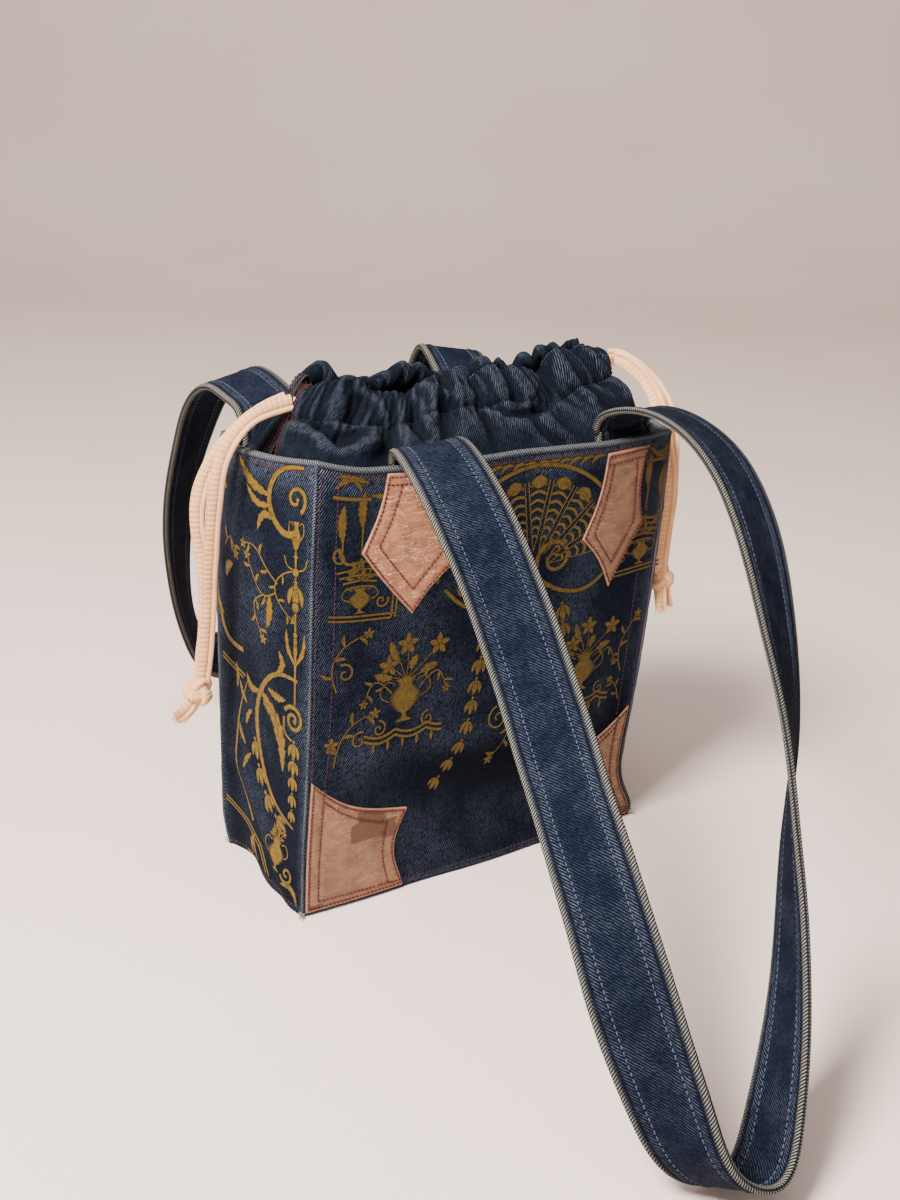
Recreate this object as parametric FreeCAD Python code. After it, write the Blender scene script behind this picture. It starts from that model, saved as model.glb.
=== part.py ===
"""Denim drawstring box bag with two long shoulder straps.

Millimetres, +Z up. The origin is the centre of the base, on the surface that the bag stands on.
+X runs along the bag's width, to the right of a person who faces the front panel, and +Y to the back.
"""

import FreeCAD
import Part
import math
import os

V = FreeCAD.Vector

# ---------------------------------------------------------------- driving dimensions

WIDTH = 240.0  # outside, across the front panel
DEPTH = 96.0  # outside, at the base
HEIGHT = 266.0  # base to rim
RIM_LEAN_FRONT = 9.0  # how far the front panel leans out at the rim
RIM_LEAN_BACK = 4.0
RIM_LEAN_SIDE = -2.0  # the gussets draw in a little at the rim

PANEL_T = 1.8  # denim panel with its seam allowance
FACING_T = 0.8  # self fabric facing inside the rim
FACING_H = 30.0
LINING_T = 0.5
PATCH_T = 1.2  # leather

STRAP_W = 40.0
STRAP_PLY = 1.5  # each of the strap's two plies
STRAP_TAB_H = 30.0  # how far a strap end runs down inside the rim
STRAP_ARCH = 32.0  # length of the tight arch over the rim, at each end of a strap
STRAP_ARCH_SECTIONS = 8
STRAP_SECTIONS = 40  # in the long part between the two arches
STRAP_X_FAR = 87.0  # the anchor near a side seam, from the bag's middle
STRAP_X_NEAR = 47.0  # the other anchor of the same strap, on the other side of the middle
STRAP_HINGE_Z = HEIGHT + 4.0
STRAP_HINGE_Y_FRONT = -53.0
STRAP_HINGE_Y_BACK = 48.0
STRAP_TAB_CLEAR = 2.2  # from a strap's sewn end to the start of its free loop

COLLAR_T = 1.6
COLLAR_Z0 = HEIGHT - 9.0  # sewn line inside the rim
COLLAR_Z1 = 308.0  # gathered mouth
COLLAR_END_X0 = 114.0  # half length at the sewn line
COLLAR_LEFT_X1 = -80.0  # left end of the gathered mouth
COLLAR_RIGHT_X1 = 106.0
COLLAR_Y0 = {"front": 50.0, "back": 45.2}  # sewn line, from the middle
COLLAR_Y1 = 9.0
COLLAR_CORNER = 7.0
COLLAR_CORNER_SHARE = 0.75  # most of the half depth that a corner may take
COLLAR_SLIT = 2.0  # half of the gap between the two halves below the casing
CASING_Z0 = 289.0  # lower stitch line of the drawcord casing
CASING_T = 7.4
CASING_WALL = 1.2
CASING_SLIT = 3.0  # half of the cord exit's width

CORD_W = 9.0  # flat braid
CORD_T = 1.7
CORD_LAY = 1.2  # the two cords in the casing lie this far each side of its middle
CORD_RUN_CLEAR = 0.6  # from the end of a cord's run to the casing's exit
TAIL_D = 5.0  # round stand-in of the flat braid's free tails
TAIL_TURN_REACH = 0.45  # share of a run that the arc at its corner takes up
KNOT_R = 8.5
KNOT_SQUEEZE = (1.0, 0.92, 0.96)
FRAY_D = 4.6


def lerp(a, b, t):
    """The value a share t of the way from a to b."""
    return a + (b - a) * t


def solid_loft(wires):
    """A closed solid ruled through closed wires."""
    return Part.makeLoft(wires, True, True)


def closed(points):
    """A closed polygon wire."""
    return Part.makePolygon(list(points) + [points[0]])


# ---------------------------------------------------------------- box of the bag


def half_width(z):
    """Outside half width at height z."""
    return WIDTH / 2.0 + RIM_LEAN_SIDE * z / HEIGHT


def front_y(z):
    """Outside of the front panel at height z."""
    return -DEPTH / 2.0 - RIM_LEAN_FRONT * z / HEIGHT


def back_y(z):
    """Outside of the back panel at height z."""
    return DEPTH / 2.0 + RIM_LEAN_BACK * z / HEIGHT


def plan(z, inset):
    """The bag's rectangle at height z, moved in by inset: left, right, front, back."""
    x = half_width(z) - inset
    return -x, x, front_y(z) + inset, back_y(z) - inset


def rectangle(z, x0, x1, y0, y1):
    """A rectangle wire at height z."""
    return closed([V(x0, y0, z), V(x1, y0, z), V(x1, y1, z), V(x0, y1, z)])


def box_between(z0, z1, inset):
    """The bag's tapered inside volume between two heights."""
    return solid_loft([rectangle(z, *plan(z, inset)) for z in (z0, z1)])


def wall(side, z0, z1, inset, thickness):
    """One flat wall of the tapered box, as a plate. Front and back run the full width."""
    wires = []
    for z in (z0, z1):
        x0, x1, y0, y1 = plan(z, inset)
        if side == "front":
            wires.append(rectangle(z, x0, x1, y0, y0 + thickness))
        elif side == "back":
            wires.append(rectangle(z, x0, x1, y1 - thickness, y1))
        elif side == "left":
            wires.append(rectangle(z, x0, x0 + thickness, y0 + thickness, y1 - thickness))
        else:
            wires.append(rectangle(z, x1 - thickness, x1, y0 + thickness, y1 - thickness))
    return solid_loft(wires)


def make_shell():
    """The outer denim: front, back, two gussets and the base, then the lining and the rim's facing."""
    nodes = {
        "front_panel": wall("front", 0, HEIGHT, 0, PANEL_T),
        "back_panel": wall("back", 0, HEIGHT, 0, PANEL_T),
        "left_gusset": wall("left", 0, HEIGHT, 0, PANEL_T),
        "right_gusset": wall("right", 0, HEIGHT, 0, PANEL_T),
        "base_panel": box_between(0, PANEL_T, PANEL_T),
    }
    facing_z0 = HEIGHT - FACING_H
    outer = box_between(PANEL_T, facing_z0, PANEL_T)
    inner = box_between(PANEL_T + LINING_T, facing_z0 + 1.0, PANEL_T + LINING_T)
    nodes["lining"] = outer.cut(inner)
    ring = box_between(facing_z0, HEIGHT, PANEL_T)
    core = box_between(facing_z0 - 1.0, HEIGHT + 1.0, PANEL_T + FACING_T)
    nodes["rim_facing"] = ring.cut(core)
    return nodes


# ---------------------------------------------------------------- leather patches


def on_panel(side, x, height, proud):
    """A point on the front or back panel's outside, at a height, standing proud of it."""
    lean = RIM_LEAN_FRONT if side == "front" else RIM_LEAN_BACK
    sign = -1.0 if side == "front" else 1.0
    base_y = front_y(height) if side == "front" else back_y(height)
    tilt = math.atan2(lean, HEIGHT)
    return V(x, base_y + sign * proud * math.cos(tilt), height - proud * math.sin(tilt))


def patch(side, outline):
    """A leather patch from its outline: (x, height) corners, with a third pair where a side is an arc."""
    faces = []
    for proud in (0.0, PATCH_T):
        edges = []
        for k, (corner, middle) in enumerate(outline):
            start = on_panel(side, corner[0], corner[1], proud)
            end_corner = outline[(k + 1) % len(outline)][0]
            end = on_panel(side, end_corner[0], end_corner[1], proud)
            if middle is None:
                edges.append(Part.LineSegment(start, end).toShape())
            else:
                mid = on_panel(side, middle[0], middle[1], proud)
                edges.append(Part.Arc(start, mid, end).toShape())
        faces.append(Part.Wire(edges))
    return solid_loft(faces)


STRAP_PATCH_TOP = HEIGHT - 4.0
STRAP_PATCH_TOP_W = 34.0
STRAP_PATCH_W = 56.0
STRAP_PATCH_SHOULDER = 52.0  # below the top
STRAP_PATCH_TIP = 88.0
STRAP_PATCH_HOLLOW = 2.0  # how far its sides bow in
STRAP_PATCH_X = {"front": (-55.0, 86.0), "back": (-86.0, 55.0)}
CORNER_PATCH_W = 70.0
CORNER_PATCH_TALL = 82.0  # along the side seam
CORNER_PATCH_SHORT = 52.0  # at the pointed inner end
CORNER_PATCH_FOOT = 66.0
CORNER_PATCH_EDGE = 1.5  # kept back from the seam and from the floor
CORNER_PATCH_HOLLOW = 7.0  # how far its top and inner side bow in


def strap_patch(side, x):
    """The pointed patch under a strap anchor: narrow top, wide shoulders, point down."""
    top, tip = STRAP_PATCH_TOP, STRAP_PATCH_TOP - STRAP_PATCH_TIP
    shoulder = STRAP_PATCH_TOP - STRAP_PATCH_SHOULDER
    a, b = STRAP_PATCH_TOP_W / 2.0, STRAP_PATCH_W / 2.0
    hollow = STRAP_PATCH_HOLLOW
    upper = ((a + b) / 2.0 - hollow, (top + shoulder) / 2.0)
    lower = (b / 2.0 - hollow / 2.0, (shoulder + tip) / 2.0 + hollow / 2.0)
    return patch(
        side,
        [
            ((x - a, top), None),
            ((x + a, top), (x + upper[0], upper[1])),
            ((x + b, shoulder), (x + lower[0], lower[1])),
            ((x, tip), (x - lower[0], lower[1])),
            ((x - b, shoulder), (x - upper[0], upper[1])),
        ],
    )


def corner_patch(side, sign):
    """The four-cornered patch at a bottom corner, with hollow top and inner sides."""
    seam = WIDTH / 2.0 - CORNER_PATCH_EDGE
    inner = seam - CORNER_PATCH_W
    foot = seam - CORNER_PATCH_FOOT
    z0 = CORNER_PATCH_EDGE
    hollow = CORNER_PATCH_HOLLOW
    top_mid = ((seam + inner) / 2.0, (CORNER_PATCH_TALL + CORNER_PATCH_SHORT) / 2.0 - hollow)
    side_mid = ((inner + foot) / 2.0 + hollow, (CORNER_PATCH_SHORT + z0) / 2.0)
    return patch(
        side,
        [
            ((sign * seam, z0), None),
            ((sign * seam, CORNER_PATCH_TALL), (sign * top_mid[0], top_mid[1])),
            ((sign * inner, CORNER_PATCH_SHORT), (sign * side_mid[0], side_mid[1])),
            ((sign * foot, z0), None),
        ],
    )


def make_patches():
    """Two anchor patches and two corner patches on each big panel."""
    nodes = {}
    for side, (left_x, right_x) in STRAP_PATCH_X.items():
        nodes["strap_patch_" + side + "_left"] = strap_patch(side, left_x)
        nodes["strap_patch_" + side + "_right"] = strap_patch(side, right_x)
        nodes["corner_patch_" + side + "_left"] = corner_patch(side, -1.0)
        nodes["corner_patch_" + side + "_right"] = corner_patch(side, 1.0)
    return nodes


# ---------------------------------------------------------------- gathered collar and casing


def collar_line(side, z):
    """Half of the collar's plan at height z: left end x, right end x, distance of its long side."""
    t = (z - COLLAR_Z0) / (COLLAR_Z1 - COLLAR_Z0)
    left = lerp(-COLLAR_END_X0, COLLAR_LEFT_X1, t)
    right = lerp(COLLAR_END_X0, COLLAR_RIGHT_X1, t)
    return left, right, lerp(COLLAR_Y0[side], COLLAR_Y1, t)


def half_band(side, z, offset, slit):
    """One line of points along half of the collar, moved out by offset, ending at the slit."""
    left, right, y = collar_line(side, z)
    sign = -1.0 if side == "front" else 1.0
    x0, x1, far = left - offset, right + offset, y + offset
    cut = min(COLLAR_CORNER, COLLAR_CORNER_SHARE * y) + math.tan(math.pi / 8.0) * offset
    points = [
        (x0, slit),
        (x0, far - cut),
        (x0 + cut, far),
        (x1 - cut, far),
        (x1, far - cut),
        (x1, slit),
    ]
    return [V(px, sign * py, z) for px, py in points]


def half_wall(side, heights, middle, thickness, slit):
    """A wall of half the collar, ruled through its sections at the given heights."""
    wires = []
    for z in heights:
        outer = half_band(side, z, middle + thickness / 2.0, slit)
        inner = half_band(side, z, middle - thickness / 2.0, slit)
        wires.append(closed(outer + inner[::-1]))
    return solid_loft(wires)


def cord_run(side, middle):
    """The stretch of flat drawcord that lies in one half of the casing."""
    z_mid = (CASING_Z0 + COLLAR_Z1) / 2.0
    heights = (z_mid - CORD_W / 2.0, z_mid + CORD_W / 2.0)
    return half_wall(side, heights, middle, CORD_T, CASING_SLIT + CORD_RUN_CLEAR)


def make_collar(side):
    """Half of the collar: the cloth wall, its hollow casing and the two cords inside."""
    cloth = half_wall(side, (COLLAR_Z0, CASING_Z0), 0.0, COLLAR_T, COLLAR_SLIT)
    casing = half_wall(side, (CASING_Z0, COLLAR_Z1), 0.0, CASING_T, CASING_SLIT)
    room = half_wall(
        side,
        (CASING_Z0 + CASING_WALL, COLLAR_Z1 - CASING_WALL),
        0.0,
        CASING_T - 2.0 * CASING_WALL,
        CASING_SLIT - 1.0,
    )
    return {
        "collar_" + side: cloth,
        "casing_" + side: casing.cut(room),
        "left_drawcord_" + side + "_run": cord_run(side, CORD_LAY),
        "right_drawcord_" + side + "_run": cord_run(side, -CORD_LAY),
    }


# ---------------------------------------------------------------- drawcord tails

# Centre lines of the free tails, from the slit in the casing's end to the knot.
TAIL_ROUTES = {
    "left_drawcord_tail_a": [
        (-99, -3.2, 293),
        (-110, -3.6, 293.5),
        (-122.5, -1.5, 288.5),
        (-133, 2, 277),
        (-141, 6, 260),
        (-146, 10, 241),
        (-150, 13, 221),
        (-152.5, 16, 201),
        (-153, 19.5, 182),
        (-151.5, 22, 164),
        (-150.5, 23.5, 147),
        (-149.8, 24, 127.5),
    ],
    "left_drawcord_tail_b": [
        (-99, 3.2, 293),
        (-109, 4.5, 292.5),
        (-119.5, 8, 285.5),
        (-128.5, 12, 272),
        (-134, 16, 255),
        (-137, 19, 236),
        (-139, 22, 217),
        (-141.5, 24.5, 198),
        (-142.3, 27, 180),
        (-143.6, 27.4, 163),
        (-143.8, 28.2, 147),
        (-144.3, 28, 127.5),
    ],
    "right_drawcord_tail_a": [
        (118.5, -3.2, 294),
        (127.5, -9, 293.5),
        (133.5, -19, 286.5),
        (135, -30, 274.5),
        (133.5, -39, 259),
        (131.5, -45, 241.5),
        (131, -48.5, 223),
        (131.8, -48.5, 205),
        (131.2, -46.8, 188),
        (130, -47.2, 168),
    ],
    "right_drawcord_tail_b": [
        (118.5, 3.2, 294),
        (128.5, -1, 294),
        (136.5, -9, 288.5),
        (140.5, -20, 276.5),
        (139.7, -30.5, 261),
        (138, -38, 243.5),
        (137, -42, 225),
        (137.2, -42.3, 206.5),
        (136.2, -42, 189),
        (134.8, -42.8, 168),
    ],
}
# The two frayed ends beyond each knot.
FRAY_ROUTES = {
    "left_drawcord_ends": [
        [(-151, 24, 118), (-156.5, 23, 112), (-163, 22.5, 108.5)],
        [(-147.5, 28, 116.5), (-151.5, 29.5, 109.5), (-157.5, 30.2, 104)],
    ],
    "right_drawcord_ends": [
        [(130.5, -48, 157), (129, -51, 151.5), (128.6, -53, 145)],
        [(135, -45, 157), (135.6, -46.5, 151), (137.2, -47, 144.5)],
    ],
}
KNOTS = {
    "left_drawcord_knot": (-147.2, 25.8, 122.6),
    "right_drawcord_knot": (132.5, -45, 163.6),
}


def tube(points, diameter):
    """A round tube along straight runs joined by tangent arcs, and the radii of those arcs."""
    nodes = [V(*p) for p in points]
    edges, radii = [], []
    start = nodes[0]
    for before, corner, after in zip(nodes, nodes[1:], nodes[2:]):
        a, b = (before - corner), (after - corner)
        short = min(a.Length, b.Length)
        half_turn = (math.pi - a.getAngle(b)) / 2.0
        reach = TAIL_TURN_REACH * short
        radii.append(reach / math.tan(half_turn))
        a.normalize()
        b.normalize()
        into, out = corner + a * reach, corner + b * reach
        inward = a + b
        inward.normalize()
        centre = corner + inward * (radii[-1] / math.cos(half_turn))
        back = corner - centre
        back.normalize()
        edges.append(Part.LineSegment(start, into).toShape())
        edges.append(Part.Arc(into, centre + back * radii[-1], out).toShape())
        start = out
    edges.append(Part.LineSegment(start, nodes[-1]).toShape())
    path = Part.Wire(edges)
    along = nodes[1] - nodes[0]
    ring = Part.Wire([Part.Circle(nodes[0], along, diameter / 2.0).toShape()])
    return path.makePipeShell([ring], True, True), path.Length, radii


def knot(centre):
    """An overhand knot as a slightly flat ball."""
    ball = Part.makeSphere(KNOT_R)
    squeeze = FreeCAD.Matrix()
    squeeze.scale(*KNOT_SQUEEZE)
    ball = ball.transformGeometry(squeeze)
    ball.translate(V(*centre))
    return ball


def make_tails():
    """The free tails of both drawcords, with their knots and frayed ends."""
    nodes = {}
    for name, route in TAIL_ROUTES.items():
        solid, length, radii = tube(route, TAIL_D)
        nodes[name] = solid
        area = math.pi * TAIL_D**2 / 4.0
        print(name, "length", round(length, 1), "smallest radius", round(min(radii), 1))
        print("  volume over section times length", round(solid.Volume / (area * length), 4))
    for name, centre in KNOTS.items():
        nodes[name] = knot(centre)
    for name, routes in FRAY_ROUTES.items():
        nodes[name] = Part.makeCompound([tube(route, FRAY_D)[0] for route in routes])
    return nodes


# ---------------------------------------------------------------- shoulder straps

# Each station is a point on the strap's middle line and the direction of its width there.
FRONT_STRAP = [
    ((-STRAP_X_NEAR, STRAP_HINGE_Y_FRONT, STRAP_HINGE_Z), (1, 0, 0)),
    ((-47.4, -55.5, 274.5), (1, -0.03, 0.02)),
    ((-49.5, -64, 278), (0.99, -0.08, 0.08)),
    ((-53, -84, 275), (0.96, -0.16, 0.2)),
    ((-56, -118, 256), (0.91, -0.26, 0.32)),
    ((-55, -150, 222), (0.79, -0.44, 0.42)),
    ((-60, -190, 184), (0.73, -0.51, 0.45)),
    ((-72, -236, 152), (0.71, -0.53, 0.46)),
    ((-80, -274, 121), (0.74, -0.5, 0.43)),
    ((-83, -304, 86), (0.7, -0.56, 0.42)),
    ((-80, -328, 50), (0.5, -0.72, 0.46)),
    ((-68, -343, 21), (0.25, -0.84, 0.48)),
    ((-45, -346, 12), (0.1, -0.87, 0.49)),
    ((-24, -335, 29), (0, -0.86, 0.51)),
    ((-6, -319, 56), (-0.12, -0.8, 0.58)),
    ((14, -296, 92), (-0.28, -0.73, 0.62)),
    ((33, -270, 130), (-0.47, -0.62, 0.63)),
    ((50, -247, 165), (-0.68, -0.44, 0.59)),
    ((66, -214, 207), (-0.85, -0.2, 0.48)),
    ((80, -176, 248), (-0.92, -0.08, 0.38)),
    ((88, -136, 275), (-0.95, -0.03, 0.3)),
    ((90, -100, 284), (-0.97, -0.03, 0.22)),
    ((88, -66, 281), (-0.99, -0.02, 0.08)),
    ((87.2, -56, 275.5), (-1, 0, 0.02)),
    ((STRAP_X_FAR, STRAP_HINGE_Y_FRONT, STRAP_HINGE_Z), (-1, 0, 0)),
]
BACK_STRAP = [
    ((-STRAP_X_FAR, STRAP_HINGE_Y_BACK, STRAP_HINGE_Z), (-1, 0, 0)),
    ((-87.2, 51, 275.5), (-1, 0, -0.02)),
    ((-88, 64, 281), (-0.99, -0.02, -0.08)),
    ((-90, 92, 284), (-0.97, -0.1, -0.15)),
    ((-93, 122, 266), (-0.93, -0.25, -0.18)),
    ((-96, 142, 234), (-0.87, -0.43, -0.18)),
    ((-98, 158, 200), (-0.8, -0.52, -0.25)),
    ((-96, 174, 162), (-0.72, -0.62, -0.3)),
    ((-90, 190, 124), (-0.6, -0.7, -0.38)),
    ((-79, 208, 86), (-0.45, -0.78, -0.45)),
    ((-62, 230, 52), (-0.3, -0.83, -0.47)),
    ((-38, 256, 28), (-0.15, -0.86, -0.48)),
    ((-6, 280, 15), (0, -0.87, -0.49)),
    ((36, 293, 15), (0.05, -0.87, -0.49)),
    ((76, 288, 34), (0.2, -0.83, -0.5)),
    ((98, 268, 70), (0.4, -0.76, -0.5)),
    ((102, 236, 112), (0.58, -0.66, -0.5)),
    ((96, 200, 154), (0.7, -0.56, -0.45)),
    ((82, 162, 198), (0.8, -0.45, -0.4)),
    ((66, 122, 241), (0.9, -0.3, -0.32)),
    ((52, 86, 272), (0.97, -0.12, -0.18)),
    ((49, 62, 279), (1, 0, -0.05)),
    ((47.4, 51, 275), (1, 0, -0.02)),
    ((STRAP_X_NEAR, STRAP_HINGE_Y_BACK, STRAP_HINGE_Z), (1, 0, 0)),
]


def through(points, parameters):
    """A smooth curve through points at given parameters."""
    curve = Part.BSplineCurve()
    curve.interpolate(Points=points, Parameters=parameters)
    return curve


def strap_stops(total):
    """The places along a strap of that length where it gets a section, closer over the arches."""
    arch = [STRAP_ARCH * k / STRAP_ARCH_SECTIONS for k in range(STRAP_ARCH_SECTIONS)]
    middle = total - 2.0 * STRAP_ARCH
    stops = list(arch)
    stops += [STRAP_ARCH + middle * k / STRAP_SECTIONS for k in range(STRAP_SECTIONS + 1)]
    stops += [total - u for u in arch[::-1]]
    return stops


def strap_ply(stations, low, high):
    """One ply of a strap: a band between two offsets from the strap's middle surface."""
    centres = [V(*c) for c, _ in stations]
    parameters = [0.0]
    for a, b in zip(centres, centres[1:]):
        parameters.append(parameters[-1] + (b - a).Length)
    path = through(centres, parameters)
    spread = through([V(*w) for _, w in stations], parameters)
    wires = []
    for u in strap_stops(parameters[-1]):
        centre, tangent = path.value(u), path.tangent(u)[0]
        across = spread.value(u)
        across = across - tangent * across.dot(tangent)
        across.normalize()
        normal = tangent.cross(across)
        half = across * (STRAP_W / 2.0)
        corners = [
            centre - half + normal * low,
            centre + half + normal * low,
            centre + half + normal * high,
            centre - half + normal * high,
        ]
        wires.append(closed(corners))
    return solid_loft(wires), path.length()


def strap_tab(side, x):
    """A strap's end, sewn flat to the facing inside the rim."""
    sign = -1.0 if side == "front" else 1.0
    z0, z1 = HEIGHT - STRAP_TAB_H, STRAP_HINGE_Z - STRAP_TAB_CLEAR
    wires = []
    for z in (z0, HEIGHT, z1):
        edge_z = min(z, HEIGHT)
        wall_y = front_y(edge_z) if side == "front" else back_y(edge_z)
        near = wall_y - sign * (PANEL_T + FACING_T)
        far = near - sign * 2.0 * STRAP_PLY
        low, high = sorted((near, far))
        wires.append(rectangle(z, x - STRAP_W / 2.0, x + STRAP_W / 2.0, low, high))
    return solid_loft(wires)


def make_straps():
    """Both shoulder straps in two plies, and their four sewn ends."""
    nodes = {}
    for side, stations in (("front", FRONT_STRAP), ("back", BACK_STRAP)):
        face, length = strap_ply(stations, 0.0, STRAP_PLY)
        backing, _ = strap_ply(stations, -STRAP_PLY, 0.0)
        nodes[side + "_strap_face"] = face
        nodes[side + "_strap_backing"] = backing
        print(side, "strap length", round(length, 1))
        print("  volume share", round(face.Volume / (length * STRAP_W * STRAP_PLY), 4))
    for side, left_x, right_x in (
        ("front", -STRAP_X_NEAR, STRAP_X_FAR),
        ("back", -STRAP_X_FAR, STRAP_X_NEAR),
    ):
        nodes[side + "_strap_end_left"] = strap_tab(side, left_x)
        nodes[side + "_strap_end_right"] = strap_tab(side, right_x)
    return nodes


# ---------------------------------------------------------------- write


def main():
    """Builds every node and writes its STEP file."""
    os.makedirs("parts", exist_ok=True)
    nodes = {}
    nodes.update(make_shell())
    nodes.update(make_patches())
    nodes.update(make_collar("front"))
    nodes.update(make_collar("back"))
    nodes.update(make_tails())
    nodes.update(make_straps())
    for name, shape in nodes.items():
        shape.exportStep("parts/" + name + ".step")
        box = shape.BoundBox
        print(name, shape.isValid(), len(shape.Solids), "z", round(box.ZMin, 1), round(box.ZMax, 1))
    print(len(nodes), "nodes")


main()
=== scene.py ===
import math

import bmesh
import bpy
import numpy as np
from mathutils import Matrix, Vector


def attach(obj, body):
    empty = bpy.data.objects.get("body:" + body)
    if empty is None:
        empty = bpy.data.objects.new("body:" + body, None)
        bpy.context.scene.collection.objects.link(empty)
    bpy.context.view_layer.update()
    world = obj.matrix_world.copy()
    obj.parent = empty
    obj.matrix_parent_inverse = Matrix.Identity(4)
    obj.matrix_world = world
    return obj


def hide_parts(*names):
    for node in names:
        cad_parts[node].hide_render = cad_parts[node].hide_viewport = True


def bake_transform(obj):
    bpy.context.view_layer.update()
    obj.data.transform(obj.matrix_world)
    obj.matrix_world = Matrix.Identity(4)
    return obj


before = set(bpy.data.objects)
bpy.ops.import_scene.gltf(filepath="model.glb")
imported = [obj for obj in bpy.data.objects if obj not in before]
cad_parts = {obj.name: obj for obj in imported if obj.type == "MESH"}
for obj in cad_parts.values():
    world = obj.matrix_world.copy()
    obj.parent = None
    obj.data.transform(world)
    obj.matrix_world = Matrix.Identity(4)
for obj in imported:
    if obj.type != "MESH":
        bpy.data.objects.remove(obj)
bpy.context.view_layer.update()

# A denim box bag with a gathered drawstring collar, two shoulder straps, leather patches and a print.
# Lengths in this script are millimetres in the CAD frame, and become metres when a mesh is made.
MM = 0.001
TAU = 2.0 * math.pi


# ================================================================ curves and meshes


def arr(points):
    """Points as an array of floats."""
    return np.array(points, float)


def unit(v):
    """Vectors scaled to length 1."""
    return v / np.maximum(np.linalg.norm(v, axis=-1, keepdims=True), 1e-9)


def bump(x, middle, width):
    """A smooth hump of height 1."""
    return np.exp(-(((x - middle) / width) ** 2))


def clip01(x):
    """Values held between 0 and 1."""
    return np.clip(x, 0, 1)


def lengths(points):
    """Distances along a polyline, from 0 at its start."""
    return np.concatenate([[0.0], np.cumsum(np.linalg.norm(np.diff(points, axis=0), axis=1))])


def chord(points):
    """Distances along a polyline, from 0 to 1."""
    d = lengths(points)
    return d / d[-1]


def closed(points):
    """A loop of points with its first one again at its end."""
    return np.vstack([points, points[:1]])


def pick(rows, d, at):
    """Rows that are known at d, read between them at any place."""
    return np.stack([np.interp(at, d, rows[:, k]) for k in range(rows.shape[1])], -1)


def even(line, step):
    """A polyline resampled evenly, about every step, and the distances of its points."""
    d = lengths(line)
    at = np.linspace(0, d[-1], max(3, int(round(d[-1] / step)) + 1))
    return pick(line, d, at), at


def spline(knots, values, at):
    """A natural cubic spline through values at knots."""
    t, p, at = arr(knots), arr(values), arr(at)
    if p.ndim == 1:
        return spline(t, p[:, None], at)[..., 0]
    n, h = len(t), np.diff(t)
    a, rhs = np.eye(n), np.zeros_like(p)
    for i in range(1, n - 1):
        a[i, i - 1 : i + 2] = h[i - 1], 2.0 * (h[i - 1] + h[i]), h[i]
        rhs[i] = 6.0 * ((p[i + 1] - p[i]) / h[i] - (p[i] - p[i - 1]) / h[i - 1])
    m = np.linalg.solve(a, rhs)
    k = np.clip(np.searchsorted(t, at, side="right") - 1, 0, n - 2)
    w, x = h[k][..., None], (at - t[k])[..., None]
    y = w - x
    return (
        (m[k] * y**3 + m[k + 1] * x**3) / (6.0 * w)
        + (p[k] / w - m[k] * w / 6.0) * y
        + (p[k + 1] / w - m[k + 1] * w / 6.0) * x
    )


def smooth(points, step):
    """A smooth line through points, sampled evenly about every step."""
    p = arr(points)
    if len(p) == 2:
        dense = p[0] + (p[1] - p[0]) * np.linspace(0, 1, 50)[:, None]
    else:
        dense = spline(chord(p), p, np.linspace(0, 1, 40 * len(p)))
    return even(dense, step)[0]


def sweep(line, across, out, x, y):
    """A section's points carried along a line, x of them across it and y of them out of it."""
    return line[:, None] + across[:, None] * x[..., None] + out[:, None] * y[..., None]


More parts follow.
